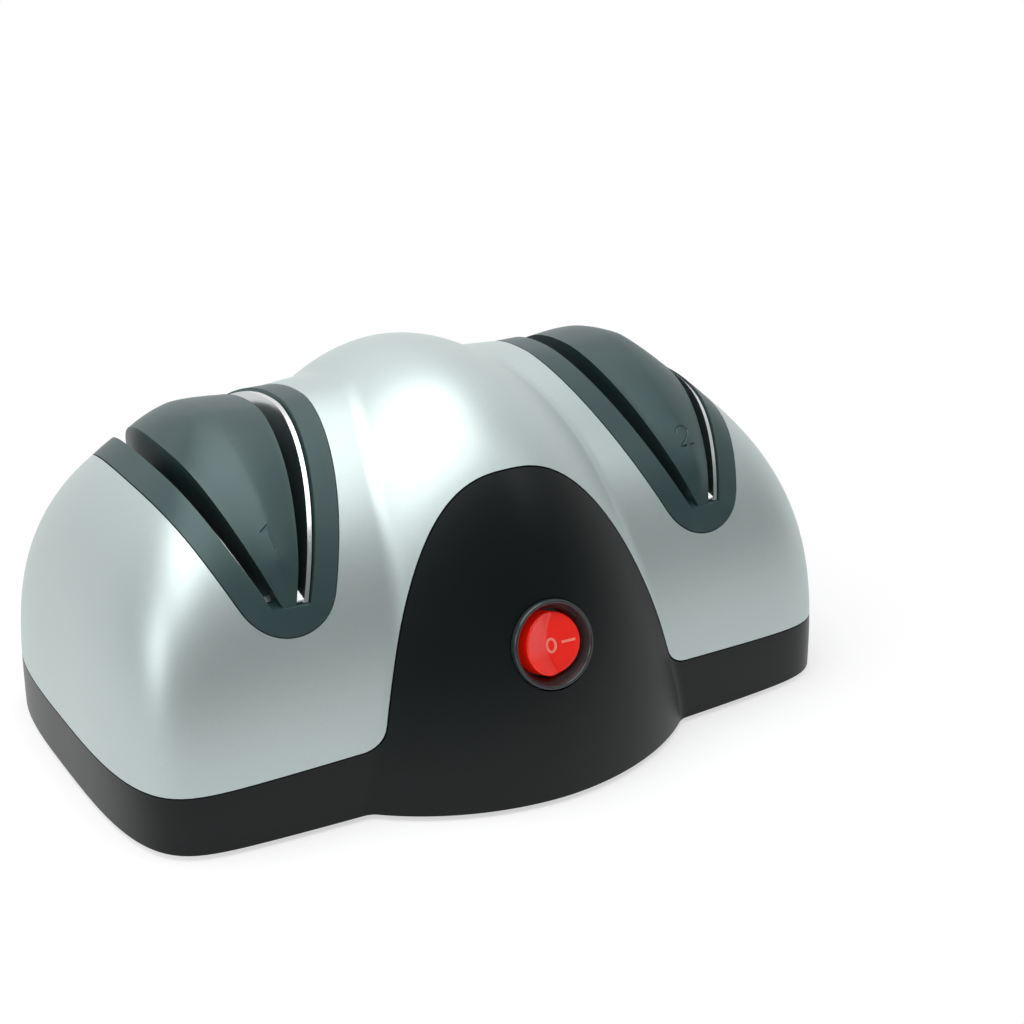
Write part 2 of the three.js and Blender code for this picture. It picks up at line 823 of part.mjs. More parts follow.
function motorShaft() {
  const end = guideCentre + flangeFace + wheelNut.thickness + shaft.tail;
  const shoulder = guideCentre - flangeFace;
  return turned([
    [0, -end],
    [shaft.endRadius - shaft.chamfer, -end],
    [shaft.endRadius, -end + shaft.chamfer],
    [shaft.endRadius, -shoulder],
    [shaft.radius, -shoulder],
    [shaft.radius, shoulder],
    [shaft.endRadius, shoulder],
    [shaft.endRadius, end - shaft.chamfer],
    [shaft.endRadius - shaft.chamfer, end],
    [0, end],
  ], 'x', steps.shaftRound);
}

function rotorCore() {
  const bore = shaft.radius + shaft.fitGap;
  const half = rotor.halfLength;
  const tip = half + rotor.ringDepth;
  return turned([
    [bore, -half],
    [rotor.ringInner, -half],
    [rotor.ringInner, -tip],
    [rotor.ringRadius, -tip],
    [rotor.ringRadius, -half],
    [rotor.radius, -half],
    [rotor.radius, half],
    [rotor.ringRadius, half],
    [rotor.ringRadius, tip],
    [rotor.ringInner, tip],
    [rotor.ringInner, half],
    [bore, half],
    [bore, -half],
  ], 'x');
}

// The way of a long motor screw, above or below the shaft
function motorScrewHole(up, end) {
  const hole = bar(motorScrew.radius + shell.clearance, -end, end, 'x', steps.smallRound);
  return movedBy(hole, 0, 0, up * bracket.screwOut);
}

function roundedRectangle(left, right, low, high, radius) {
  const outline = new THREE.Shape();
  outline.absarc(right - radius, low + radius, radius, -Math.PI / 2, 0, false);
  outline.absarc(right - radius, high - radius, radius, 0, Math.PI / 2, false);
  outline.absarc(left + radius, high - radius, radius, Math.PI / 2, Math.PI, false);
  outline.absarc(left + radius, low + radius, radius, Math.PI, 1.5 * Math.PI, false);
  return outline;
}

// A stack of laminations: the rotor's bore in front, the leg for the coil behind
function statorCore() {
  const half = stator.halfThickness;
  const rise = stator.halfHeight;
  const outline = roundedRectangle(-stator.front, stator.legBack, -rise, rise, stator.cornerRadius);
  const arm = stator.halfHeight - stator.armHeight;
  const window = polygon([
    [stator.windowFront, -arm],
    [stator.windowBack, -arm],
    [stator.windowBack, arm],
    [stator.windowFront, arm],
  ]);
  let body = pulledAlongX(outline, -half, half);
  body = cut(body, pulledAlongX(window, -half - overrun, half + overrun));
  body = cut(body, bar(stator.boreRadius, -half - overrun, half + overrun, 'x'));
  for (const up of [-1, 1]) {
    body = cut(body, motorScrewHole(up, half + overrun), ringSlot(up, half + overrun));
  }
  return body;
}

// The slot by the bore that a shading ring passes through, on opposite corners above and below
function ringSlot(up, half) {
  const y = -up * shadingRing.offset;
  const reach = shadingRing.wireThickness / 2 + shadingRing.gap;
  const ends = [up * stator.boreRadius / 2, up * (shadingRing.rise + reach)];
  return blockBetween([-half, y - reach, Math.min(...ends)], [half, y + reach, Math.max(...ends)]);
}

// A closed loop of copper bar round one tip of a pole: in by the slot, back along the core's face
function copperRing(up) {
  const half = shadingRing.wireThickness / 2;
  const bend = stator.halfThickness + shadingRing.overhang;
  const inY = -up * shadingRing.offset;
  const outY = -up * (stator.windowFront + shadingRing.gap + half);
  const [front, back] = [Math.min(inY, outY), Math.max(inY, outY)];
  const z = up * shadingRing.rise;
  const end = bend + shadingRing.wireThickness;
  const loop = blockBetween([-end, front - half, z - half], [end, back + half, z + half]);
  const eyeLow = [-bend, front + half, z - shadingRing.wireThickness];
  return loop.subtract(blockBetween(eyeLow, [bend, back - half, z + shadingRing.wireThickness]));
}

// The winding's former: a square tube round the leg with a flange at each end
function coilParts() {
  const arm = stator.halfHeight - stator.armHeight - shell.clearance;
  const legHalf = (stator.legBack - stator.windowBack) / 2;
  const middle = (stator.legBack + stator.windowBack) / 2;
  const ring = (reach, low, high, bore) => {
    const x = stator.halfThickness + reach;
    const y = legHalf + reach;
    const outer = new THREE.ExtrudeGeometry(roundedRectangle(-x, x, -y, y, coil.cornerRadius), {
      depth: high - low,
      bevelEnabled: false,
      curveSegments: steps.corner,
    });
    const hx = stator.halfThickness + bore;
    const hy = legHalf + bore;
    const middleHole = blockBetween([-hx, -hy, low - overrun], [hx, hy, high + overrun]);
    return solidOf(outer.translate(0, 0, low)).subtract(middleHole);
  };
  const gap = shell.clearance;
  const tube = ring(gap + coil.tubeThickness, -arm, arm, gap);
  const flangeTop = ring(coil.flangeReach, arm - coil.flangeThickness, arm, gap);
  const flangeLow = ring(coil.flangeReach, -arm, -arm + coil.flangeThickness, gap);
  const inner = gap + coil.tubeThickness + gap;
  const wound = arm - coil.flangeThickness - gap;
  const winding = ring(inner + coil.windingThickness, -wound, wound, inner);
  return {
    bobbin: movedBy(join(tube, flangeTop, flangeLow), 0, middle, 0),
    winding: movedBy(winding, 0, middle, 0),
  };
}

const bracketFace = stator.halfThickness + shell.clearance;
const mountX = bracketFace + bracket.standoff + bracket.thickness + bracket.mountOut;

// A bridge over the rotor's end that holds a bearing, with a foot that is screwed down
function bearingBracket() {
  const near = bracketFace;
  const plateNear = near + bracket.standoff;
  const plateFar = plateNear + bracket.thickness;
  const top = stator.halfHeight - shell.clearance;
  const legIn = top - bracket.legHeight;
  const foot = bracket.footHeight - axis.height;
  const footTop = foot + bracket.footThickness;
  const footEnd = plateFar + bracket.footLength;
  const outline = polygon([
    [near, legIn],
    [plateNear, legIn],
    [plateNear, -legIn],
    [near, -legIn],
    [near, -top],
    [plateNear, -top],
    [plateNear, foot],
    [footEnd, foot],
    [footEnd, footTop],
    [plateFar, footTop],
    [plateFar, top],
    [near, top],
  ]);
  const half = bracket.width / 2;
  let body = pulledAlongY(outline, -half, half);
  const bossEnd = plateNear + bracket.bossLength;
  body = join(body, bar(bracket.bossRadius, plateNear, bossEnd, 'x'));
  body = cut(body, bar(bearing.radius + shaft.fitGap, near, bossEnd + overrun, 'x'));
  body = cut(body, motorScrewHole(-1, plateFar + overrun), motorScrewHole(1, plateFar + overrun));
  const holeRadius = mountScrew.radius + shell.clearance;
  return cut(body, pinAt([mountX, 0], holeRadius, foot - overrun, footTop + overrun));
}

const bearingCentre = bracketFace + bracket.standoff + bracket.bossLength - bearing.halfLength;

function bearingBush() {
  const bore = shaft.radius + bearing.runningGap;
  const half = bearing.halfLength;
  return turned([
    [bore, -half],
    [bearing.radius, -half],
    [bearing.radius, half + shaft.fitGap],
    [bearing.collarRadius, half + shaft.fitGap],
    [bearing.collarRadius, half + shaft.fitGap + bearing.collar],
    [bore, half + shaft.fitGap + bearing.collar],
    [bore, -half],
  ], 'x', steps.shaftRound);
}

// A round-headed screw along +Y before it is placed: the head's underside is at zero
function screwSolid({ radius, headRadius, headHeight }, length) {
  const slotHalf = driveSlot.width / 2;
  const body = solidOf(turned([
    [0, -length],
    [radius - driveSlot.width, -length],
    [radius, -length + driveSlot.width],
    [radius, 0],
    [headRadius, 0],
    [headRadius, headHeight / 2],
    [headRadius - headHeight / 2, headHeight],
    [0, headHeight],
  ], 'y', steps.smallRound));
  const slot = blockBetween(
    [-headRadius - overrun, headHeight - driveSlot.depth, -slotHalf],
    [headRadius + overrun, headHeight + overrun, slotHalf],
  );
  return geometryOf(body.subtract(slot));
}

// The fan runs between the bracket's foot and the inner flange of stage 2
const bracketEnd = bracketFace + bracket.standoff + bracket.thickness + bracket.footLength;
const fanCentre = THREE.MathUtils.lerp(bracketEnd, guideCentre - flangeFace, fan.alongShare);

function coolingFan() {
  const bore = shaft.radius + shaft.fitGap;
  const half = fan.hubLength / 2;
  const disc = turned([
    [bore, -half],
    [fan.hubRadius, -half],
    [fan.hubRadius, half - fan.discThickness],
    [fan.radius, half - fan.discThickness],
    [fan.radius, half],
    [bore, half],
    [bore, -half],
  ], 'x');
  let body = solidOf(disc);
  for (let i = 0; i < fan.bladeCount; i += 1) {
    const blade = new THREE.BoxGeometry(fan.bladeHeight, fan.bladeThickness, fan.radius - fan.bladeInner);
    blade.translate(0, 0, (fan.radius - fan.bladeInner) / 2);
    blade.rotateX(THREE.MathUtils.degToRad(fan.bladeSweepDeg));
    blade.translate(half - fan.discThickness / 2 - fan.bladeHeight / 2, 0, fan.bladeInner);
    blade.rotateX(2 * Math.PI * (i / fan.bladeCount));
    body = body.add(solidOf(blade));
  }
  const rim = bar(fan.radius, -fan.hubLength, fan.hubLength, 'x');
  return body.intersect(rim);
}

// Feet and cord bush

function rubberFoot() {
  const top = foot.recess - shell.clearance;
  const bottom = -shell.footStand;
  return turned([
    [0, bottom],
    [foot.bottomRadius - foot.chamfer, bottom],
    [foot.bottomRadius, bottom + foot.chamfer],
    [foot.radius, -foot.chamfer / 2],
    [foot.radius, top],
    [0, top],
  ], 'z', steps.smallRound);
}

function cordBush() {
  const rim = cord.rimThickness;
  return turned([
    [cord.boreRadius, -cord.inside],
    [cord.bushRadius, -cord.inside],
    [cord.bushRadius, shell.clearance],
    [cord.rimRadius, shell.clearance],
    [cord.rimRadius, shell.clearance + rim / 2],
    [cord.rimRadius - rim / 2, shell.clearance + rim],
    [cord.boreRadius + rim / 2, shell.clearance + rim],
    [cord.boreRadius, shell.clearance + rim / 2],
    [cord.boreRadius, -cord.inside],
  ], 'y');
}

// Switch, drawn with its axis along +Y and the bezel's face at zero

function switchBody() {
  const face = turned([
    [0, -rocker.wellDepth],
    [rocker.wellRadius, -rocker.wellDepth],
    [rocker.wellRadius, -rocker.bezelThickness],
    [rocker.mouthRadius, -rocker.bezelRound / 2],
    [rocker.mouthRadius + rocker.bezelRound / 2, 0],
    [rocker.bezelRadius - rocker.bezelRound, 0],
    [rocker.bezelRadius, -rocker.bezelRound],
    [rocker.bezelRadius, -rocker.bezelThickness],
    [rocker.barrelRadius, -rocker.bezelThickness],
    [rocker.barrelRadius, -rocker.bodyDepth],
    [0, -rocker.bodyDepth],
  ].reverse(), 'y');
  const [pinReach, holeRadius] = [rocker.bezelRadius, rocker.pinRadius + rocker.pinGap];
  return cut(solidOf(face), pinAt([0, -rocker.pivotDepth], holeRadius, -pinReach, pinReach));
}

// The rocker about its pivot: a round cap with two faces that meet in a shallow valley
function rockerCap() {
  const top = rocker.pivotDepth - rocker.capSink;
  const slope = Math.tan(THREE.MathUtils.degToRad(rocker.valleyDeg));
  const out = rocker.capRadius + overrun;
  const edge = top + overrun * slope;
  const above = edge + overrun;
  const valley = polygon([
    [0, top - rocker.capRadius * slope],
    [out, edge],
    [out, above],
    [-out, above],
    [-out, edge],
  ]);
  const cutter = new THREE.ExtrudeGeometry(valley, { depth: 2 * out, bevelEnabled: false });
  const skirt = bar(rocker.capRadius, top - rocker.capSkirt, top, 'y');
  const pinHalf = rocker.barrelRadius - rocker.pinGap;
  const pin = pinAt([0, 0], rocker.pinRadius, -pinHalf, pinHalf);
  return skirt.subtract(solidOf(cutter.translate(0, 0, -out))).add(pin);
}

function switchTerminal() {
  const [halfWidth, halfThickness] = [terminal.width / 2, terminal.thickness / 2];
  const tab = blockBetween([-halfWidth, -terminal.length, -halfThickness], [halfWidth, 0, halfThickness]);
  const eyePlace = [0, -terminal.length + 2 * terminal.eyeRadius];
  return cut(tab, pinAt(eyePlace, terminal.eyeRadius, -overrun, overrun));
}

// Assembly

// The cord bush can stand out of the back, and the middle of the footprint is then off the shaft's
const backReach = Math.max(hump.halfDepth, cordSeat + shell.clearance + cord.rimThickness);

const sharpener = new THREE.Group();
const housing = new THREE.Group();
housing.position.set(0, (hump.halfDepth - backReach) / 2, shell.footStand);
sharpener.add(housing);

const drive = new THREE.Group();
drive.position.z = axis.height;
housing.add(drive);

function put(parent, name, form, material, place = [0, 0, 0]) {
  const geometry = form instanceof THREE.BufferGeometry ? form : geometryOf(form);
  const mesh = new THREE.Mesh(geometry, material);
  mesh.name = name;
  mesh.position.set(...place);
  parent.add(mesh);
  return mesh;
}

put(housing, 'base_shell', baseShell(), finishes.blackAbs);
put(housing, 'top_shell', topShell(), finishes.silver);

const stages = [
  { number: 1, side: -1, grit: finishes.coarseGrit },
  { number: 2, side: 1, grit: finishes.fineGrit },
];

for (const { number, side, grit } of stages) {
  put(housing, `guide_insert_${number}`, guideInsert(side), finishes.greyAbs);
  put(housing, `guide_plate_${number}_left`, guidePlate(side, -1), finishes.steel);
  put(housing, `guide_plate_${number}_right`, guidePlate(side, 1), finishes.steel);
  const x = side * guideCentre;
  put(drive, `grinding_wheel_${number}`, grindingWheel(), grit, [x, 0, 0]);
  put(drive, `wheel_flange_${number}_inner`, clampFlange(-side), finishes.zinc, [x - side * wheelFace, 0, 0]);
  put(drive, `wheel_flange_${number}_outer`, clampFlange(side), finishes.zinc, [x + side * wheelFace, 0, 0]);
  const nut = hexNut(wheelNut, shaft.endRadius + shaft.fitGap);
  const nutMesh = put(drive, `wheel_nut_${number}`, nut, finishes.zinc, [x + side * flangeFace, 0, 0]);
  if (side < 0) nutMesh.rotation.z = Math.PI;
}

put(drive, 'motor_shaft', motorShaft(), finishes.steel);
put(drive, 'rotor_core', rotorCore(), finishes.aluminium);
put(drive, 'cooling_fan', coolingFan(), finishes.nylon, [fanCentre, 0, 0]);
put(drive, 'stator_core', statorCore(), finishes.lamination);
put(drive, 'shading_ring_upper', copperRing(1), finishes.copper);
put(drive, 'shading_ring_lower', copperRing(-1), finishes.copper);

const wound = coilParts();
put(drive, 'coil_bobbin', wound.bobbin, finishes.nylon);
put(drive, 'stator_coil', wound.winding, finishes.coilTape);

for (const [word, side] of [['left', -1], ['right', 1]]) {
  const end = new THREE.Group();
  if (side < 0) end.rotation.z = Math.PI;
  drive.add(end);
  put(end, `bearing_bracket_${word}`, bearingBracket(), finishes.zinc);
  put(end, `bearing_bush_${word}`, bearingBush(), finishes.bronze, [bearingCentre, 0, 0]);
  const footTop = bracket.footHeight + bracket.footThickness + shaft.fitGap - axis.height;
  const screw = screwSolid(mountScrew, mountScrew.length);
  put(end, `mount_screw_${word}`, screw, finishes.zinc, [mountX, 0, footTop]).rotation.x = Math.PI / 2;
}

const bracketBack = bracketFace + bracket.standoff + bracket.thickness + shaft.fitGap;
for (const [word, up] of [['upper', 1], ['lower', -1]]) {
  const z = up * bracket.screwOut;
  const screw = screwSolid(motorScrew, 2 * bracketBack + motorNut.thickness + motorScrew.tail);
  const nut = hexNut(motorNut, motorScrew.radius + shaft.fitGap);
  put(drive, `motor_screw_${word}`, screw, finishes.zinc, [bracketBack, 0, z]).rotation.z = -Math.PI / 2;
  put(drive, `motor_nut_${word}`, nut, finishes.zinc, [-bracketBack, 0, z]).rotation.z = Math.PI;
}

const toggle = new THREE.Group();
toggle.position.copy(switchPlace);
toggle.rotation.x = switchTurn;
housing.add(toggle);

put(toggle, 'switch_body', switchBody(), finishes.switchBlack);
const cap = put(toggle, 'switch_rocker', rockerCap(), finishes.rockerRed, [0, -rocker.pivotDepth, 0]);
cap.rotation.z = THREE.MathUtils.degToRad(rocker.restDeg);
for (const [word, side] of [['left', -1], ['right', 1]]) {
  const place = [side * terminal.spacing / 2, -rocker.bodyDepth - shell.clearance, 0];
  put(toggle, `switch_terminal_${word}`, switchTerminal(), finishes.brass, place);
}

put(housing, 'cord_bush', cordBush(), finishes.rubber, [0, cordSeat, cord.height]);

cornerPlaces(foot).forEach(([x, y], i) => {
  put(housing, `foot_${i + 1}`, rubberFoot(), finishes.rubber, [x, y, 0]);
});

cornerPlaces(caseScrew).forEach(([x, y], i) => {
  const screw = screwSolid(caseScrew, caseScrew.length);
  const z = caseScrew.recess + caseScrew.headHeight;
  put(housing, `case_screw_${i + 1}`, screw, finishes.zinc, [x, y, z]).rotation.x = -Math.PI / 2;
});

export default sharpener;
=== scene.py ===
import math

import bpy
import numpy as np
from mathutils import Matrix, Vector


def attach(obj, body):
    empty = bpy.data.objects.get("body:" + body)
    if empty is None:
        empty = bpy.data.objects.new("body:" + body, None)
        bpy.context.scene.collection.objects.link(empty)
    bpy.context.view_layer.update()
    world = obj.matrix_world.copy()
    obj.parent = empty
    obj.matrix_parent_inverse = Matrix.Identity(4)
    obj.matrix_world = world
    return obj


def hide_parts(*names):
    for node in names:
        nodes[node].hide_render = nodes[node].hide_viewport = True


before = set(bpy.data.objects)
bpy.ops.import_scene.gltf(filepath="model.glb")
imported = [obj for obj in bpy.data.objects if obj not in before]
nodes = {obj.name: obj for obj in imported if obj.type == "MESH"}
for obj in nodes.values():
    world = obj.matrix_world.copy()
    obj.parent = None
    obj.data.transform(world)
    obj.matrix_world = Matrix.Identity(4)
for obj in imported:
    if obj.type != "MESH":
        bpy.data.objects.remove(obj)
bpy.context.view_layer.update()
bpy.ops.object.select_all(action="DESELECT")
print("frame loaded:", len(nodes), "nodes")

# Pieces are modelled in millimetres, with y 0 at the wheel shaft and z 0 at the foot of the base band.
# settle() turns a finished piece to metres and puts it in its place in the frame.
mm = 0.001
standing = Vector((0, -0.1623, 1.5))
mergeDistance = 0.0005


def only(*objs):
    bpy.ops.object.select_all(action="DESELECT")
    for obj in objs:
        obj.select_set(True)
    bpy.context.view_layer.objects.active = objs[0]


def carve(piece, tool, how="DIFFERENCE", keepTool=False):
    only(piece)
    cutter = piece.modifiers.new("carve", "BOOLEAN")
    cutter.solver = "MANIFOLD"
    cutter.operation = how
    cutter.object = tool
    bpy.ops.object.modifier_apply(modifier=cutter.name)
    if not keepTool:
        bpy.data.objects.remove(tool)
    return piece


def copied(piece):
    twin = piece.copy()
    twin.data = piece.data.copy()
    bpy.context.collection.objects.link(twin)
    return twin


def closeUp(piece):                        # merges doubles and turns all faces outwards
    only(piece)
    bpy.ops.object.mode_set(mode="EDIT")
    bpy.ops.mesh.select_all(action="SELECT")
    bpy.ops.mesh.remove_doubles(threshold=mergeDistance)
    bpy.ops.mesh.normals_make_consistent(inside=False)
    bpy.ops.object.mode_set(mode="OBJECT")
    return piece


def outlineBlock(points, front, back):     # an outline in the XZ plane, pulled along Y
    bpy.ops.mesh.primitive_circle_add(vertices=len(points), fill_type="NGON")
    block = bpy.context.object
    for vertex, (x, z) in zip(block.data.vertices, points):
        vertex.co = (x, front, z)
    bpy.ops.object.mode_set(mode="EDIT")
    bpy.ops.mesh.select_all(action="SELECT")
    bpy.ops.mesh.extrude_region_move(TRANSFORM_OT_translate={"value": (0, back - front, 0)})
    bpy.ops.object.mode_set(mode="OBJECT")
    return closeUp(block)


def blockBetween(low, high):
    bpy.ops.mesh.primitive_cube_add(size=1)
    block = bpy.context.object
    size = [b - a for a, b in zip(low, high)]
    middle = [(a + b) / 2 for a, b in zip(low, high)]
    block.data.transform(Matrix.Translation(middle) @ Matrix.Diagonal((*size, 1)))
    return block


def roundBar(radius, low, high, place=(0, 0, 0), turn="Z", sides=48):
    bpy.ops.mesh.primitive_cylinder_add(vertices=sides, radius=radius, depth=high - low)
    stick = bpy.context.object
    lay = {
        "X": Matrix.Rotation(math.pi / 2, 4, "Y"),
        "Y": Matrix.Rotation(-math.pi / 2, 4, "X"),
        "Z": Matrix(),
    }
    raised = Matrix.Translation((0, 0, (low + high) / 2))
    stick.data.transform(Matrix.Translation(place) @ lay[turn] @ raised)
    return stick


def turnedPiece(profile, sides=96):        # a closed profile of (radius, height), spun about Y
    bpy.ops.mesh.primitive_circle_add(vertices=len(profile), fill_type="NOTHING")
    piece = bpy.context.object
    for vertex, (radius, height) in zip(piece.data.vertices, profile):
        vertex.co = (radius, height, 0)
    bpy.ops.object.mode_set(mode="EDIT")
    bpy.ops.mesh.select_all(action="SELECT")
    bpy.ops.mesh.spin(steps=sides, angle=2 * math.pi, center=(0, 0, 0), axis=(0, 1, 0))
    bpy.ops.object.mode_set(mode="OBJECT")
    return closeUp(piece)


def settle(piece, name, body, material, replaced=(), smooth=30):
    piece.data.transform(Matrix.Diagonal((mm, mm, mm, 1)) @ Matrix.Translation(standing))
    piece.name = name
    piece.data.name = name
    piece.data.materials.clear()
    piece.data.materials.append(material)
    only(piece)
    bpy.ops.object.shade_smooth_by_angle(angle=math.radians(smooth))
    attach(piece, body)
    if replaced:
        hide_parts(*replaced)
    return piece


# The camera as solved from the photograph: a long lens, from the front left and above
view = {"turnDeg": -30.88, "riseDeg": 23.34, "place": (-241.47, -452.8, 270.95), "focalPixels": 2033.35,
        "widthPixels": 1024, "sensor": 36, "nearest": 0.02}

turn, rise = math.radians(view["turnDeg"]), math.radians(view["riseDeg"])
right = Vector((math.cos(turn), math.sin(turn), 0))
back = Vector((math.sin(turn) * math.cos(rise), -math.cos(turn) * math.cos(rise), math.sin(rise)))
up = back.cross(right)
cameraData = bpy.data.cameras.new("camera")
cameraData.sensor_width = view["sensor"]
cameraData.lens = view["focalPixels"] * view["sensor"] / view["widthPixels"]
cameraData.clip_start = view["nearest"]
camera = bpy.data.objects.new("camera", cameraData)
facing = Matrix((right, up, back)).transposed().to_4x4()
camera.matrix_world = Matrix.Translation((Vector(view["place"]) + standing) * mm) @ facing
bpy.context.collection.objects.link(camera)
bpy.context.scene.camera = camera
bpy.context.scene.view_settings.view_transform = "Standard"


def linear(code):                          # sRGB hex to linear RGBA
    parts = [int(code[i:i + 2], 16) / 255 for i in (1, 3, 5)]
    return (*[p / 12.92 if p <= 0.04045 else ((p + 0.055) / 1.055) ** 2.4 for p in parts], 1)


def newMaterial(name):
    material = bpy.data.materials.new(name)
    material.use_nodes = True
    material.node_tree.nodes.clear()
    return material


def addNode(tree, kind, settings=None, links=None):
    node = tree.nodes.new("ShaderNode" + kind)
    for key, value in (settings or {}).items():
        if isinstance(key, str) and hasattr(node, key):
            setattr(node, key, value)
        else:
            node.inputs[key].default_value = value
    for key, source in (links or {}).items():
        tree.links.new(source, node.inputs[key])
    return node


def texture(tree, kind, settings):         # read by the coordinates of the piece itself
    spot = addNode(tree, "TexCoord")
    return addNode(tree, kind, settings, {"Vector": spot.outputs["Object"]})


def toneMix(tree, dark, light, factor):
    tones = {"data_type": "RGBA", 6: linear(dark), 7: linear(light)}
    return addNode(tree, "Mix", tones, {0: factor}).outputs[2]


def roughBetween(tree, low, high, factor):
    return addNode(tree, "MapRange", {"To Min": low, "To Max": high}, {"Value": factor}).outputs[0]


def relief(tree, strength, height, distance=0.0001):
    return addNode(tree, "Bump", {"Strength": strength, "Distance": distance}, {"Height": height}).outputs[0]


def finishShader(tree, settings, links):
    shader = addNode(tree, "BsdfPrincipled", settings, links)
    addNode(tree, "OutputMaterial", {}, {"Surface": shader.outputs[0]})


lamps = [
    # name, place, aim, width, depth, watts
    ("lampTop", (-0.18, 0, 0.82), (0, 0, 0.05), 0.9, 0.9, 8),
    ("lampLeft", (-0.85, -0.1, 0.4), (-0.05, 0, 0.05), 0.4, 0.4, 1.8),
    ("lampRight", (0.5, -0.42, 0.75), (0.05, 0, 0.05), 0.3, 0.3, 0.5),
]
for name, place, aim, width, depth, watts in lamps:
    light = bpy.data.lights.new(name, "AREA")
    light.shape = "RECTANGLE"
    light.size, light.size_y, light.energy = width, depth, watts
    lamp = bpy.data.objects.new(name, light)
    direction = Vector(aim) - Vector(place)
    turned = direction.to_track_quat("-Z", "Y").to_matrix().to_4x4()
    lamp.matrix_world = Matrix.Translation(place) @ turned
    bpy.context.collection.objects.link(lamp)

# A soft grey room that the camera sees as white, with a bright wall behind it for glossy reflections
world = bpy.data.worlds.new("studio")
bpy.context.scene.world = world
world.use_nodes = True
tree = world.node_tree
tree.nodes.clear()
path = addNode(tree, "LightPath")
spot = addNode(tree, "TexCoord")
behind = addNode(tree, "VectorMath", {"operation": "DOT_PRODUCT", 1: (0.51, 0.86, 0)},
                 {0: spot.outputs["Generated"]})
sweep = addNode(tree, "MapRange", {"From Min": -0.1, "From Max": 0.6}, {"Value": behind.outputs["Value"]})
gloss = addNode(tree, "Math", {"operation": "MULTIPLY"},
                {0: path.outputs["Is Glossy Ray"], 1: sweep.outputs[0]})
seen = addNode(tree, "Math", {"operation": "MAXIMUM"},
               {0: path.outputs["Is Camera Ray"], 1: path.outputs["Is Transmission Ray"]})
seen = addNode(tree, "Math", {"operation": "MAXIMUM"}, {0: seen.outputs[0], 1: gloss.outputs[0]})
soft = addNode(tree, "Background", {"Color": linear("#eef4f5"), "Strength": 0.25})
white = addNode(tree, "Background", {"Color": (1, 1, 1, 1), "Strength": 1})
both = addNode(tree, "MixShader", {}, {0: seen.outputs[0], 1: soft.outputs[0], 2: white.outputs[0]})
addNode(tree, "OutputWorld", {}, {"Surface": both.outputs[0]})

# White paper: it glows by itself towards the edge of the set, and near the object it keeps the shadow
floorPaper = newMaterial("floorPaper")
tree = floorPaper.node_tree
path = addNode(tree, "LightPath")
spot = addNode(tree, "TexCoord")
away = addNode(tree, "VectorMath", {"operation": "LENGTH"}, {0: spot.outputs["Object"]})
share = addNode(tree, "MapRange", {"From Min": 0.09, "From Max": 0.2, "To Min": 0.6, "To Max": 1},
                {"Value": away.outputs["Value"]})
seen = addNode(tree, "Math", {"operation": "MAXIMUM"},
               {0: path.outputs["Is Camera Ray"], 1: path.outputs["Is Glossy Ray"]})
share = addNode(tree, "Math", {"operation": "MULTIPLY"}, {0: share.outputs[0], 1: seen.outputs[0]})
paper = addNode(tree, "BsdfPrincipled", {"Base Color": linear("#ffffff"), "Roughness": 0.8})
glow = addNode(tree, "Emission", {"Color": (1, 1, 1, 1), "Strength": 1})
both = addNode(tree, "MixShader", {}, {0: share.outputs[0], 1: paper.outputs[0], 2: glow.outputs[0]})
addNode(tree, "OutputMaterial", {}, {"Surface": both.outputs[0]})
bpy.ops.mesh.primitive_plane_add(size=12)
floor = bpy.context.object
floor.name = "floor"
floor.data.materials.append(floorPaper)
print("camera, light and floor done")

# Satin silver paint on ABS: fine metal flakes under a thin clear coat, soft wide highlights
silverPaint = newMaterial("silverPaint")
tree = silverPaint.node_tree
flakes = texture(tree, "TexNoise", {"Scale": 4200, "Detail": 2, "Roughness": 0.7}).outputs["Fac"]
cloud = texture(tree, "TexNoise", {"Scale": 18, "Detail": 3}).outputs["Fac"]
rough = addNode(tree, "MapRange", {"From Min": 0.3, "From Max": 0.7, "To Min": 0.42, "To Max": 0.48},
                {"Value": cloud})
finishShader(tree, {"Metallic": 0.8, "IOR": 1.5, "Coat Weight": 0.1, "Coat Roughness": 0.3}, {
    "Base Color": toneMix(tree, "#aebbba", "#c3cecd", flakes),
    "Roughness": rough.outputs[0],
    "Normal": relief(tree, 0.05, flakes),
})

# Black ABS, moulded in a polished tool: deep, smooth, with a faint moulded waviness
blackAbs = newMaterial("blackAbs")
tree = blackAbs.node_tree
grain = texture(tree, "TexNoise", {"Scale": 2600, "Detail": 3}).outputs["Fac"]
cloud = texture(tree, "TexNoise", {"Scale": 40, "Detail": 2}).outputs["Fac"]
finishShader(tree, {"IOR": 1.53, "Specular IOR Level": 0.22}, {
    "Base Color": toneMix(tree, "#060b0c", "#0c1314", cloud),
    "Roughness": roughBetween(tree, 0.3, 0.4, grain),
    "Normal": relief(tree, 0.06, grain),
})

# Grey ABS with a fine spark-eroded grain, about 0.3 mm: dull, slightly blue-green
greyAbs = newMaterial("greyAbs")
tree = greyAbs.node_tree
grain = texture(tree, "TexVoronoi", {"Scale": 2600, "feature": "SMOOTH_F1"}).outputs["Distance"]
cloud = texture(tree, "TexNoise", {"Scale": 60, "Detail": 3}).outputs["Fac"]
moulded = {"IOR": 1.53, "Roughness": 0.42, "Specular IOR Level": 0.65, "Specular Tint": linear("#d9f2f0")}
finishShader(tree, moulded, {
    "Base Color": toneMix(tree, "#223335", "#2f4143", cloud),
    "Normal": relief(tree, 0.18, grain),
})

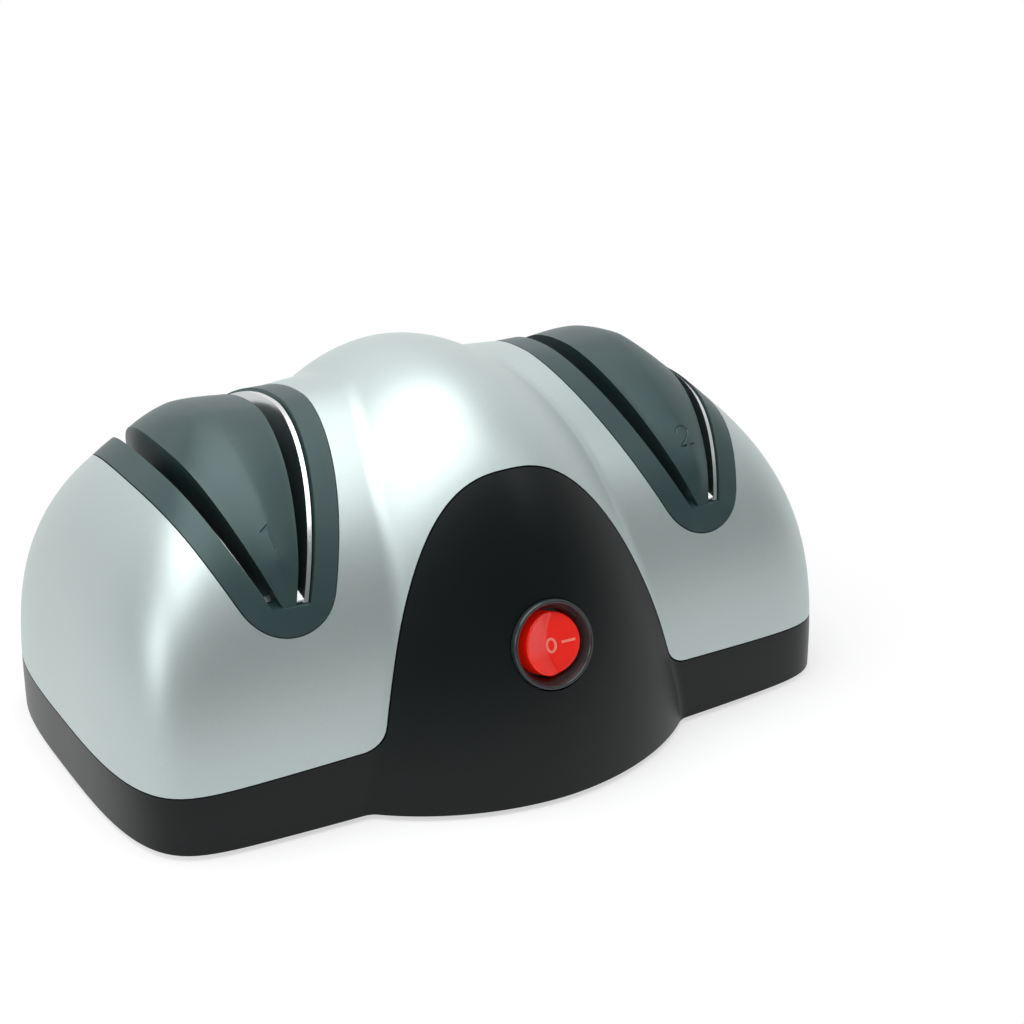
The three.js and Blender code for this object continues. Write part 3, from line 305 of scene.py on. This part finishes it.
# Bright rolled spring steel: long fine rolling lines
springSteel = newMaterial("springSteel")
tree = springSteel.node_tree
stretch = texture(tree, "Mapping", {"Scale": (1, 0.02, 1)})
lines = addNode(tree, "TexNoise", {"Scale": 3000, "Detail": 2}, {"Vector": stretch.outputs[0]})
finishShader(tree, {"Base Color": linear("#d9dcdc"), "Metallic": 1}, {
    "Roughness": roughBetween(tree, 0.16, 0.3, lines.outputs["Fac"]),
})


def gritMaterial(name, dark, light, grit):  # bonded abrasive: loose grains of the given size in millimetres
    material = newMaterial(name)
    tree = material.node_tree
    grains = texture(tree, "TexVoronoi", {"Scale": 1000 / grit})
    finishShader(tree, {"Roughness": 0.92}, {
        "Base Color": toneMix(tree, dark, light, grains.outputs["Color"]),
        "Normal": relief(tree, 0.8, grains.outputs["Distance"], grit * mm / 3),
    })
    return material


coarseGrit = gritMaterial("coarseGrit", "#3d352f", "#8a7d70", 0.5)
fineGrit = gritMaterial("fineGrit", "#8d7a73", "#c9b8b0", 0.25)


# Cast, plated or turned metal with a mottled finish
def metalMaterial(name, dark, light, roughLow, roughHigh, scale):
    material = newMaterial(name)
    tree = material.node_tree
    mottle = texture(tree, "TexNoise", {"Scale": scale, "Detail": 4}).outputs["Fac"]
    finishShader(tree, {"Metallic": 1}, {
        "Base Color": toneMix(tree, dark, light, mottle),
        "Roughness": roughBetween(tree, roughLow, roughHigh, mottle),
    })
    return material


# Zinc looks dull and patchy, cast aluminium pale and grainy, copper warm and smooth, sintered bronze brown
# and speckled, brass yellow and bright
zincPlate = metalMaterial("zincPlate", "#8c8e8b", "#a8aaa6", 0.3, 0.5, 300)
castAluminium = metalMaterial("castAluminium", "#a6a9ab", "#bcc0c2", 0.35, 0.55, 500)
bareCopper = metalMaterial("bareCopper", "#a5602f", "#c07a48", 0.25, 0.4, 250)
sinteredBronze = metalMaterial("sinteredBronze", "#78592f", "#94733f", 0.4, 0.6, 900)
terminalBrass = metalMaterial("terminalBrass", "#b3913f", "#ccab5c", 0.22, 0.36, 300)

# Stacked laminations, 0.5 mm each, lacquered
laminations = newMaterial("laminations")
tree = laminations.node_tree
bands = {"wave_type": "BANDS", "bands_direction": "X", "Scale": 100}
sheets = texture(tree, "TexWave", bands).outputs["Fac"]
finishShader(tree, {"Metallic": 0.8, "Roughness": 0.5}, {
    "Base Color": toneMix(tree, "#3f4144", "#75787b", sheets),
    "Normal": relief(tree, 0.4, sheets),
})


# Plain moulded or pressed plastics and rubber
def plasticMaterial(name, dark, light, rough, scale, bumpStrength):
    material = newMaterial(name)
    tree = material.node_tree
    mottle = texture(tree, "TexNoise", {"Scale": scale, "Detail": 3}).outputs["Fac"]
    finishShader(tree, {"Roughness": rough, "IOR": 1.5}, {
        "Base Color": toneMix(tree, dark, light, mottle),
        "Normal": relief(tree, bumpStrength, mottle),
    })
    return material


# Plain nylon looks milky, coil tape yellow and waxy, rubber dead matt; the switch's nylon is black and
# glossy, and its ink a flat pale red
naturalNylon = plasticMaterial("naturalNylon", "#dcd9cc", "#e9e7dd", 0.5, 800, 0.1)
coilTape = plasticMaterial("coilTape", "#c49a2c", "#dcb84f", 0.5, 400, 0.3)
softRubber = plasticMaterial("softRubber", "#131415", "#1d1e20", 0.8, 1500, 0.3)
switchNylon = plasticMaterial("switchNylon", "#1f2628", "#2b3335", 0.22, 900, 0.08)
paleInk = plasticMaterial("paleInk", "#f27a66", "#ff9a86", 0.45, 1200, 0.05)

# Clear red polycarbonate over a lamp: glossy, deep, with a faint glow from inside
rockerRed = newMaterial("rockerRed")
tree = rockerRed.node_tree
swirl = texture(tree, "TexNoise", {"Scale": 130, "Detail": 2}).outputs["Fac"]
tone = toneMix(tree, "#d20c03", "#f02008", swirl)
lens = {"Roughness": 0.2, "IOR": 1.58, "Subsurface Weight": 0.4,
        "Subsurface Radius": (0.004, 0.0006, 0.0003), "Emission Strength": 0.25}
finishShader(tree, lens, {"Base Color": tone, "Emission Color": tone})
print("materials done")

# Two low wings and a tall hump, each a rounded loaf, and where they meet the crease has a small round
wing = {"length": 105.3, "depth": 60.6, "taper": 5.2, "height": 92.5, "drop": 9.5, "dropPower": 1.4,
        "leanHeight": 106.5, "leanPower": 3.4, "endPower": 18.1, "frontPower": 3.05, "outPower": 1.67,
        "backPower": 2.22, "upPower": 2.58}
hump = {"length": 69.4, "depth": 77.4, "taper": 0, "height": 97.6, "drop": 0, "dropPower": 1,
        "leanHeight": 97.6, "leanPower": 1.48, "endPower": 1.9, "frontPower": 2.52, "outPower": 2.46,
        "backPower": 2.46, "upPower": 1.6}
crease = {"round": 1.3, "lowestDeg": 18}
wallThickness = 2.4
farthest = 170.0                           # beyond every point of the housing
surfaceHalvings = 36
creaseHalvings = 28


def halfDepth(form, x, z, behind, inset=0):
    along = np.abs(x) / (form["length"] - inset)
    height = form["height"] - inset
    up = z / (height - form["drop"] * np.minimum(along, 1) ** form["dropPower"])
    leant = np.clip(up * height / (form["leanHeight"] - inset), 0, 2) ** form["leanPower"]
    lean = np.sqrt(np.clip(1 - leant, 1e-12, 1))
    power = np.where(behind, form["backPower"], form["outPower"])
    out = np.clip(1 - np.clip(up, 0, 1) ** form["upPower"], 0, 1) ** (1 / power)
    end = np.clip(1 - np.clip(along / lean, 0, 1) ** form["endPower"], 0, 1) ** (1 / form["frontPower"])
    depth = (form["depth"] - inset - form["taper"] * along ** 2) * out * end
    return np.where((along >= lean) | (up >= 1), -1, depth)


def loafReach(form, start, rays, inset):   # how far along each ray the loaf's surface lies
    near, far = np.zeros(len(rays)), np.full(len(rays), farthest)
    for _ in range(surfaceHalvings):
        middle = (near + far) / 2
        x, y, z = (start + rays * middle[:, None]).T
        inside = np.abs(y) <= halfDepth(form, x, z, y > 0, inset)
        near, far = np.where(inside, middle, near), np.where(inside, far, middle)
    return near


def bodyReach(start, rays, inset=0):
    a, b = loafReach(wing, start, rays, inset), loafReach(hump, start, rays, inset)
    overlap = np.clip(crease["round"] - np.abs(a - b), 0, None)
    return np.maximum(a, b) + overlap ** 2 / (4 * crease["round"])


def rayAt(turn, rise):
    return np.stack([np.cos(rise) * np.cos(turn), np.cos(rise) * np.sin(turn), np.sin(rise)], axis=1)


def creaseTurn(rise, behind):              # where wing and hump meet, as an angle from the X axis
    near, far = np.zeros(len(rise)), np.full(len(rise), math.pi / 2)
    for _ in range(creaseHalvings):
        middle = (near + far) / 2
        rays = rayAt(np.where(behind, middle, -middle), rise)
        winged = loafReach(wing, 0, rays, 0) > loafReach(hump, 0, rays, 0)
        near, far = np.where(winged, middle, near), np.where(winged, far, middle)
    return near


# How the ball's columns are spread: the share of each quarter that the wing takes, and how far they crowd
# together at the crease
columns = {"wingShare": 0.6, "even": 0.4, "crowded": 0.6}
underside = 6                              # the ball's lower half is flattened to this depth, then cut away


def housingSolid(inset, segments, rings):  # a ball pushed out to the housing's surface, ray by ray
    bpy.ops.mesh.primitive_uv_sphere_add(segments=segments, ring_count=rings, radius=1)
    ball = bpy.context.object
    count = len(ball.data.vertices)
    points = np.empty(count * 3)
    ball.data.vertices.foreach_get("co", points)
    points = points.reshape(-1, 3)
    rise = np.arcsin(np.clip(points[:, 2], -1, 1))
    share = np.arctan2(np.abs(points[:, 1]), np.abs(points[:, 0])) / (math.pi / 2)
    behind = points[:, 1] > 0
    levels, place = np.unique(np.round(np.maximum(rise, 0), 6), return_inverse=True)
    meeting = np.empty(count)
    for side in (False, True):
        found = creaseTurn(levels, np.full(len(levels), side))
        found = np.maximum(found, math.radians(crease["lowestDeg"]))
        meeting = np.where(behind == side, found[place], meeting)
    split, even, crowded = columns["wingShare"], columns["even"], columns["crowded"]
    u = np.clip(share / split, 0, 1)
    v = np.clip((share - split) / (1 - split), 0, 1)
    turn = meeting * (even * u + crowded * (1 - (1 - u) ** 2))
    turn = turn + (math.pi / 2 - meeting) * (even * v + crowded * v ** 2)
    rays = rayAt(turn, np.maximum(rise, 0))
    rays[:, 0] *= np.where(points[:, 0] < 0, -1, 1)
    rays[:, 1] *= np.where(behind, 1, -1)
    shaped = rays * bodyReach(0, rays, inset)[:, None]
    under = rise < 0
    shaped[:, :2] *= np.where(under, np.cos(rise), 1)[:, None]
    shaped[:, 2] = np.where(under, underside * np.sin(rise), shaped[:, 2])
    ball.data.vertices.foreach_set("co", shaped.ravel())
    ball.data.update()
    return ball


outer = housingSolid(0, segments=400, rings=200)
inner = housingSolid(wallThickness, segments=128, rings=80)
print("housing surface:", len(outer.data.polygons), "faces")

# Outlines that divide the housing
parting = {"middle": 17.2, "end": 15, "fallStart": 50}
arch = {"halfWidth": 44.9, "height": 78.6, "upPower": 1.53, "outPower": 2.36, "corner": 6, "cornerSteps": 8,
        "innermost": 20, "overlap": 6}
seam = 0.35
farOut = 185                               # cutting blocks end well outside the part, to the sides
farDown = 20                               # and below it


def partingAt(x):
    run = max(abs(x) - parting["fallStart"], 0) / (wing["length"] - parting["fallStart"])
    return parting["middle"] - run * (parting["middle"] - parting["end"])


def belowParting(offset):
    ends = [-farOut, -parting["fallStart"], parting["fallStart"], farOut]
    points = [(-farOut, -farDown), (farOut, -farDown)] + [(x, partingAt(x) + offset) for x in reversed(ends)]
    return outlineBlock(points, -farOut, farOut)


def archHalf(z, grow):
    share = min(z / (arch["height"] + grow), 1)
    return (arch["halfWidth"] + grow) * (1 - share ** arch["upPower"]) ** (1 / arch["outPower"])


def archBlock(grow, steps=48):
    foot = parting["middle"] + grow
    spring = foot + arch["corner"]
    edge, corner = archHalf(spring, grow), archHalf(foot, grow)
    flare = corner + arch["corner"]
    side = [(flare, foot)]
    for i in range(1, arch["cornerSteps"] + 1):  # the rounded corner where arch and parting line meet
        t = i / arch["cornerSteps"]
        x = (1 - t) ** 2 * flare + 2 * t * (1 - t) * corner + t * t * edge
        side.append((x, (1 - t * t) * foot + t * t * spring))
    for i in range(1, steps + 1):
        z = spring + (arch["height"] + grow - spring) * (1 - (1 - i / steps) ** 2)
        side.append((archHalf(z, grow), z))
    points = [(-flare, foot - arch["overlap"]), (flare, foot - arch["overlap"])]
    points += side + [(-x, z) for x, z in reversed(side[:-1])]
    return outlineBlock(points, -farOut, -arch["innermost"])


def baseSpace(grow):
    return carve(belowParting(grow), archBlock(grow), "UNION")


# Each tongue-shaped guide: slot walls at wallLeft and wallRight from its middle, a wedge between them, and
# the space for its wheel
stage = {"centre": 61.2, "bladeDeg": 24.3, "floor": 55.8, "half": 11.5, "tip": 13.3, "wallLeft": 4.5,
         "wallRight": 5.3, "wallRise": 0.6, "wallFade": 6, "wedgeHalf": 1.7, "wedgeDeg": 19.6,
         "wedgeRoot": 0.4, "wedgeLeast": 0.5, "crownEdge": 0.7, "crownRidge": 2, "crownPower": 1.4,
         "crownFade": 9, "crownCore": 0.05, "shellGap": 0.3, "wheelRoom": 25, "wheelHalf": 6,
         "wheelHeight": 42}
slope = math.tan(math.radians(stage["bladeDeg"]))
wedgeSlope = math.tan(math.radians(stage["wedgeDeg"]))
tongueTop = 100
tongueEnd = 90
tipSteps = 32


def tongueBlock(side, grow):
    tilt = math.radians(stage["bladeDeg"])
    half = stage["half"] + grow / math.cos(tilt)
    radius = stage["tip"] + grow
    wide = half + (tongueTop - stage["floor"]) * slope
    centre = stage["floor"] + (radius / math.cos(tilt) - half) / slope
    points = [(wide, tongueTop), (-wide, tongueTop)]
    for i in range(tipSteps + 1):
        a = math.pi + tilt + (math.pi - 2 * tilt) * i / tipSteps
        points.append((radius * math.cos(a), centre + radius * math.sin(a)))
    return outlineBlock([(side * stage["centre"] + x, z) for x, z in points], -tongueEnd, tongueEnd)


# A flat-bottomed wedge of space with its left and right walls at their own distances from the middle
def flatTongue(side, left, right, floor, lean=slope):
    middle = side * stage["centre"]
    rise = [(z - stage["floor"]) * lean for z in (floor, tongueTop)]
    points = [(-left - rise[0], floor), (right + rise[0], floor)]
    points += [(right + rise[1], tongueTop), (-left - rise[1], tongueTop)]
    return outlineBlock([(middle + x, z) for x, z in points], -tongueEnd, tongueEnd)


# The silver shell: the hollow housing without the base, the arch and the two tongues
topShell = copied(outer)
carve(topShell, inner, keepTool=True)
carve(topShell, baseSpace(seam))
for side in (-1, 1):
    carve(topShell, tongueBlock(side, stage["shellGap"]))
settle(topShell, "topShell", "housing", silverPaint, ["top_shell"])
print("top shell:", len(topShell.data.polygons), "faces")

# The base: band, floor and front panel in one moulding. The sizes of the cord's opening and of the switch
# stand here too, because the base is cut for them.
base = {"floor": 2.6, "lip": 1.4, "lipGap": 0.3, "lipRise": 3, "lipRoot": 3.5, "ventWidth": 3,
        "ventLength": 26, "ventPitch": 7, "ventCount": 9, "ventY": -32, "footRadius": 7.3, "footX": 78,
        "footY": 44, "footRecess": 1.8, "screwX": 92, "screwY": 34, "screwHead": 3.6, "screwRecess": 5.95,
        "drillStart": -5}
cord = {"height": 9.6, "bush": 5.4, "rim": 6.4, "gap": 0.3, "seat": 0.8, "deepest": 12, "outermost": 3}
boss = {"radius": 13.4, "depth": 2.6, "below": 0.6, "inset": 0.5}
rocker = {"height": 39.6, "leanDeg": 17, "proud": 0.6, "bezel": 11.5, "bezelThickness": 2, "bezelGap": 0.3,
          "lipFoot": 0.9, "wellTop": 3.4, "well": 9, "wellDepth": 8, "barrel": 9.8, "barrelGap": 0.25,
          "drillEnd": 3, "bodyDepth": 15, "cap": 8.15, "capRound": 0.5, "capSink": 0.75, "capSkirt": 5.4,
          "valleyDeg": 15, "valleyBlend": 0.25, "scoop": 0.02, "scoopSink": 0.45, "pivotDepth": 4.6,
          "restDeg": -6}

switchFront = -float(halfDepth(hump, 0, rocker["height"], False)) - rocker["proud"]
switchLean = Matrix.Rotation(math.pi - math.radians(rocker["leanDeg"]), 4, "X")
switchTurn = Matrix.Translation((0, switchFront, rocker["height"])) @ switchLean
cordSeat = float(halfDepth(hump, 0, cord["height"], True)) - cord["seat"]

baseShell = copied(outer)
carve(baseShell, blockBetween((-farOut, -farOut, 0), (farOut, farOut, farOut)), "INTERSECT")
aboveFloor = blockBetween((-farOut, -farOut, base["floor"]), (farOut, farOut, farOut))
hollow = carve(copied(inner), aboveFloor, "INTERSECT")
carve(baseShell, baseSpace(0), "INTERSECT")
carve(baseShell, hollow)
lipInset = wallThickness + base["lipGap"]
lip = housingSolid(lipInset, segments=160, rings=60)  # stands inside the silver shell's wall
carve(lip, belowParting(base["lipRise"]), "INTERSECT")
carve(lip, housingSolid(lipInset + base["lip"], segments=160, rings=60))
carve(lip, belowParting(-base["lipRoot"]))
carve(baseShell, lip, "UNION")
bossFoot = -rocker["bezelThickness"] - boss["depth"]
bossTop = -boss["below"]
bossProfile = [(0, bossFoot), (boss["radius"], bossFoot), (boss["radius"], bossTop), (0, bossTop)]
seatRing = turnedPiece(bossProfile, sides=64)  # the thicker seat round the switch
seatRing.data.transform(switchTurn)
carve(seatRing, housingSolid(boss["inset"], segments=160, rings=80), "INTERSECT")
carve(baseShell, seatRing, "UNION")
holes = [
    (rocker["bezel"] + rocker["bezelGap"], -rocker["bezelThickness"] - rocker["bezelGap"]),
    (rocker["barrel"] + rocker["barrelGap"], -rocker["bodyDepth"]),
]
for radius, low in holes:
    hole = roundBar(radius, low, rocker["drillEnd"], turn="Y", sides=96)
    hole.data.transform(switchTurn)
    carve(baseShell, hole)
for i in range(base["ventCount"]):
    x = (i - (base["ventCount"] - 1) / 2) * base["ventPitch"]
    straight = (base["ventLength"] - base["ventWidth"]) / 2
    near = (x, base["ventY"] - straight, 0)
    slot = roundBar(base["ventWidth"] / 2, base["drillStart"], -base["drillStart"], near, sides=24)
    for vertex in slot.data.vertices:
        if vertex.co.y > base["ventY"] - straight:
            vertex.co.y += 2 * straight
    carve(baseShell, slot)
for sx in (-1, 1):
    for sy in (-1, 1):
        foot = (sx * base["footX"], sy * base["footY"], 0)
        screw = (sx * base["screwX"], sy * base["screwY"], 0)
        carve(baseShell, roundBar(base["footRadius"], base["drillStart"], base["footRecess"], foot))
        carve(baseShell, roundBar(base["screwHead"], base["drillStart"], base["screwRecess"], screw))
for radius, deep in ((cord["bush"], cord["deepest"]), (cord["rim"], 0)):
    ends = (cordSeat - deep, cordSeat + cord["outermost"])
    carve(baseShell, roundBar(radius + cord["gap"], *ends, (0, 0, cord["height"]), "Y"))
settle(baseShell, "baseShell", "housing", blackAbs, ["base_shell"])
print("base shell:", len(baseShell.data.polygons), "faces")


def wedgeLift(offset, z):                  # the wedge's crown, a soft ridge along its middle
    half = np.maximum(stage["wedgeHalf"] + (z - stage["floor"]) * wedgeSlope, stage["wedgeLeast"])
    fade = np.clip((z - stage["floor"]) / stage["crownFade"], 0, 1)
    ridge = 1 - np.minimum(np.abs(offset) / half, 1) ** stage["crownPower"]
    return (stage["crownEdge"] + stage["crownRidge"] * ridge) * fade * fade * (3 - 2 * fade)


def wallLift(offset, z):                   # the rim stands up a little where it meets the slots
    wall = np.where(offset < 0, stage["wallLeft"], stage["wallRight"])
    rise = np.maximum(z - stage["floor"], 0) * slope
    share = (np.abs(offset) - wall - rise) / (stage["half"] - wall)
    share = np.maximum(share, (stage["floor"] - z) / stage["wallFade"])
    return stage["wallRise"] * np.clip(1 - share, 0, 1)


def crownPoints(side, offset, angle, lift, extra=0):  # onto the lifted surface, by angle about the X axis
    start = np.zeros((len(offset), 3))
    start[:, 0] = side * stage["centre"] + offset
    rays = np.stack([np.zeros(len(angle)), -np.cos(angle), np.sin(angle)], axis=1)
    reach = bodyReach(start, rays)
    reach = reach + lift(offset, reach * np.sin(angle)) + extra
    return start + rays * reach[:, None]


def crownSolid(side, lift, across=64, along=150):  # all the space under the lifted surface
    bpy.ops.mesh.primitive_grid_add(x_subdivisions=across, y_subdivisions=along, size=2)
    crown = bpy.context.object
    only(crown)
    bpy.ops.object.mode_set(mode="EDIT")
    bpy.ops.mesh.select_all(action="SELECT")
    bpy.ops.mesh.extrude_region_move(TRANSFORM_OT_translate={"value": (0, 0, 1)})
    bpy.ops.object.mode_set(mode="OBJECT")
    points = np.empty(len(crown.data.vertices) * 3)
    crown.data.vertices.foreach_get("co", points)
    points = points.reshape(-1, 3)
    widest = stage["half"] + (wing["height"] - stage["floor"]) * slope
    shaped = crownPoints(side, points[:, 0] * widest, (points[:, 1] + 1) / 2 * math.pi, lift)
    raised = points[:, 2] > 0.5            # becomes the surface; the other copy shrinks towards the X axis
    shaped[:, 1:] *= np.where(raised, 1, stage["crownCore"])[:, None]
    crown.data.vertices.foreach_set("co", shaped.ravel())
    crown.data.update()
    return closeUp(crown)


# The stage numbers, engraved as round-bottomed lines: offset from the wedge's middle and angle in degrees
engraving = {"radius": 0.34, "rise": 0.08, 1: [(-2.1, 62.9), (-0.3, 63.6), (-0.25, 61.4), (0, 59.2)],
             2: [(-2, 63.7), (-1.5, 64.4), (-0.3, 64.8), (1.1, 64.6), (1.8, 63.9), (1.5, 63.1), (0.1, 62.1),
                 (-2.1, 60.9), (2.4, 61.1)]}


def engrave(piece, side, line):
    offset, angle = np.array(line).T
    found = crownPoints(side, offset, np.radians(angle), wedgeLift, engraving["rise"])
    spots = [Vector(spot) for spot in found]
    for spot in spots:
        bpy.ops.mesh.primitive_ico_sphere_add(subdivisions=2, radius=engraving["radius"], location=spot)
        ball = bpy.context.object
        ball.data.transform(ball.matrix_world)
        ball.matrix_world = Matrix()
        carve(piece, ball)
    for a, b in zip(spots, spots[1:]):
        stroke = roundBar(engraving["radius"], 0, (b - a).length, sides=16)
        stroke.data.transform(Matrix.Translation(a) @ (b - a).to_track_quat("Z", "Y").to_matrix().to_4x4())
        carve(piece, stroke)


def wheelRoom(side):
    half = stage["wheelHalf"]
    middle = (side * stage["centre"], 0, stage["wheelHeight"])
    return roundBar(stage["wheelRoom"], -half, half, middle, "X", sides=96)


# The grey guides, with the floor of the slots cut flat and the wedge set back between the slots
for number, side in ((1, -1), (2, 1)):
    guide = crownSolid(side, wallLift)
    carve(guide, tongueBlock(side, 0), "INTERSECT")
    carve(guide, flatTongue(side, stage["wallLeft"], stage["wallRight"], stage["floor"]))
    wedgeFoot = stage["floor"] - stage["wedgeRoot"]
    wedge = flatTongue(side, stage["wedgeHalf"], stage["wedgeHalf"], wedgeFoot, wedgeSlope)
    carve(wedge, crownSolid(side, wedgeLift), "INTERSECT")
    carve(guide, wedge, "UNION")
    carve(guide, wheelRoom(side))
    engrave(guide, side, engraving[number])
    settle(guide, f"guide{number}", "housing", greyAbs, [f"guide_insert_{number}"], smooth=25)
    print("guide", number, "done:", len(guide.data.polygons), "faces")

# Steel plates along the slots' outer walls, each with a tab at both ends that hooks over the floor; those on
# the left stop below the surface
plate = {"faces": {"left": (3.7, 4.4), "right": (3.5, 4.6)}, "leftDrop": 3.5, "above": 0.3, "openBelow": 3,
         "tabLength": 4.6, "tabRoot": 2, "tabTip": 0.7, "tabReach": {"left": 1, "right": 2.2},
         "tabInset": 0.3, "tabOverlap": 0.5}
slack = 0.1
coverLow = housingSolid(plate["leftDrop"], segments=200, rings=100)
for number, side in ((1, -1), (2, 1)):
    middle = side * stage["centre"]
    for word, slotSide in (("left", -1), ("right", 1)):
        low = stage["floor"] + plate["above"]
        face, rear = plate["faces"][word]
        strip = flatTongue(side, rear, rear, low)
        carve(strip, flatTongue(side, face, face, low - plate["openBelow"]))
        ends = sorted((middle, middle + slotSide * farOut))
        carve(strip, blockBetween((ends[0], -farOut, 0), (ends[1], farOut, farOut)), "INTERSECT")
        reach = (face + plate["tabOverlap"], face - plate["tabReach"][word])
        x = sorted(middle + slotSide * distance for distance in reach)
        tip = float(halfDepth(wing, x[1], low + plate["tabTip"], False)) - plate["tabInset"]
        for end in (-1, 1):
            y = sorted((end * tip, end * (tip - plate["tabLength"])))
            tab = blockBetween((x[0], y[0], low), (x[1], y[1], low + plate["tabRoot"]))
            for vertex in tab.data.vertices:
                if vertex.co.z > low + slack and abs(vertex.co.y) > tip - slack:
                    vertex.co.z = low + plate["tabTip"]
            carve(strip, tab, "UNION")
        carve(strip, coverLow if word == "left" else outer, "INTERSECT", keepTool=True)
        carve(strip, wheelRoom(side))
        name = f"plate{number}{word.title()}"
        settle(strip, name, "housing", springSteel, [f"guide_plate_{number}_{word}"])
bpy.data.objects.remove(coverLow)
print("plates done")

# The switch body: barrel, rolled lip round the mouth, and the well that the rocker tips in
bezelProfile = [
    (0, -rocker["bodyDepth"]), (rocker["barrel"], -rocker["bodyDepth"]),
    (rocker["barrel"], -rocker["bezelThickness"]), (rocker["bezel"], -rocker["bezelThickness"]),
    (rocker["bezel"], -rocker["lipFoot"]), (11.4, -0.45), (11.2, -0.12), (10.95, 0), (10.7, -0.03),
    (10.5, -0.2), (10.3, -0.6), (10.1, -1.6), (rocker["well"], -rocker["wellTop"]),
    (rocker["well"], -rocker["wellDepth"]), (0, -rocker["wellDepth"]),
]
bezel = turnedPiece(bezelProfile, sides=128)
bezel.data.transform(switchTurn)
settle(bezel, "switchBody", "housing", switchNylon, ["switch_body"], smooth=40)

# The cap is spun, then its face pressed into a valley: the left half is also scooped along its length
top = rocker["pivotDepth"] - rocker["capSink"]
valley = math.tan(math.radians(rocker["valleyDeg"]))


def capFace(x, z):
    floorHeight = top - rocker["cap"] * valley
    left = -valley * x + rocker["scoop"] * z * z - rocker["scoopSink"]
    right = valley * x
    overlap = np.clip(rocker["valleyBlend"] - np.abs(left - right), 0, None)
    return floorHeight + np.maximum(left, right) + overlap ** 2


faceRadius = rocker["cap"] - rocker["capRound"]
faceRings, edgeRings = 28, 5
profile = [(faceRadius * i / faceRings, top) for i in range(faceRings + 1)]
for i in range(1, edgeRings + 1):
    a = math.pi / 2 * i / edgeRings
    outward, down = rocker["capRound"] * math.sin(a), rocker["capRound"] * (1 - math.cos(a))
    profile.append((faceRadius + outward, top - down))
skirt = top - rocker["capSkirt"]
cap = turnedPiece(profile + [(rocker["cap"], skirt), (0, skirt)], sides=128)
points = np.empty(len(cap.data.vertices) * 3)
cap.data.vertices.foreach_get("co", points)
points = points.reshape(-1, 3)
onFace = points[:, 1] > top - rocker["capRound"] - 0.01  # with a hair to spare
points[:, 1] += np.where(onFace, capFace(points[:, 0], points[:, 2]) - top, 0)
cap.data.vertices.foreach_set("co", points.ravel())
cap.data.update()
capTurn = switchTurn @ Matrix.Translation((0, -rocker["pivotDepth"], 0))
capTurn = capTurn @ Matrix.Rotation(math.radians(rocker["restDeg"]), 4, "Z")
cap.data.transform(capTurn)
settle(cap, "rocker", "rocker", rockerRed, ["switch_rocker"])

# Off and on marks, inlaid in the face and following it: an oval nought near the middle and a short bar
mark = {"noughtX": 0.3, "noughtZ": 0.6, "noughtWide": 1.45, "noughtTall": 2, "line": 0.62, "barX": 4.9,
        "barZ": 0.3, "barLong": 3.6, "sink": 0.1, "proud": 0.04}
height = mark["sink"] + mark["proud"]
nought = roundBar(1, 0, height, turn="Y", sides=40)
hole = roundBar(1, -1, height + 1, turn="Y", sides=40)
for ring, trim in ((nought, 0), (hole, mark["line"])):
    ring.data.transform(Matrix.Diagonal((mark["noughtWide"] - trim, 1, mark["noughtTall"] - trim, 1)))
carve(nought, hole)
nought.data.transform(Matrix.Translation((mark["noughtX"], 0, mark["noughtZ"])))
half = mark["line"] / 2
barLow = (mark["barX"] - mark["barLong"] / 2, 0, mark["barZ"] - half)
barHigh = (mark["barX"] + mark["barLong"] / 2, height, mark["barZ"] + half)
bar = blockBetween(barLow, barHigh)
only(nought, bar)
bpy.ops.object.join()
marks = bpy.context.object
for vertex in marks.data.vertices:
    x, y, z = vertex.co
    vertex.co.y = y - mark["sink"] + float(capFace(np.float64(x), np.float64(z)))
marks.data.transform(capTurn)
settle(marks, "rockerMarks", "rocker", paleInk)
print("switch done")

# CAD nodes that keep their own shape take a finish by the start of their name, and zinc plate without one
finishes = {
    "grinding_wheel_1": coarseGrit,
    "grinding_wheel_2": fineGrit,
    "motor_shaft": springSteel,
    "rotor_core": castAluminium,
    "cooling_fan": naturalNylon,
    "stator_core": laminations,
    "coil_bobbin": naturalNylon,
    "stator_coil": coilTape,
    "cord_bush": softRubber,
    "switch_terminal": terminalBrass,
    "shading_ring": bareCopper,
    "bearing_bush": sinteredBronze,
    "foot_": softRubber,
}
for name, node in nodes.items():
    chosen = next((m for start, m in finishes.items() if name.startswith(start)), zincPlate)
    for slotIndex in range(max(1, len(node.material_slots))):
        if node.material_slots:
            node.material_slots[slotIndex].material = chosen
        else:
            node.data.materials.append(chosen)

for spare in (outer, inner):
    bpy.data.objects.remove(spare)
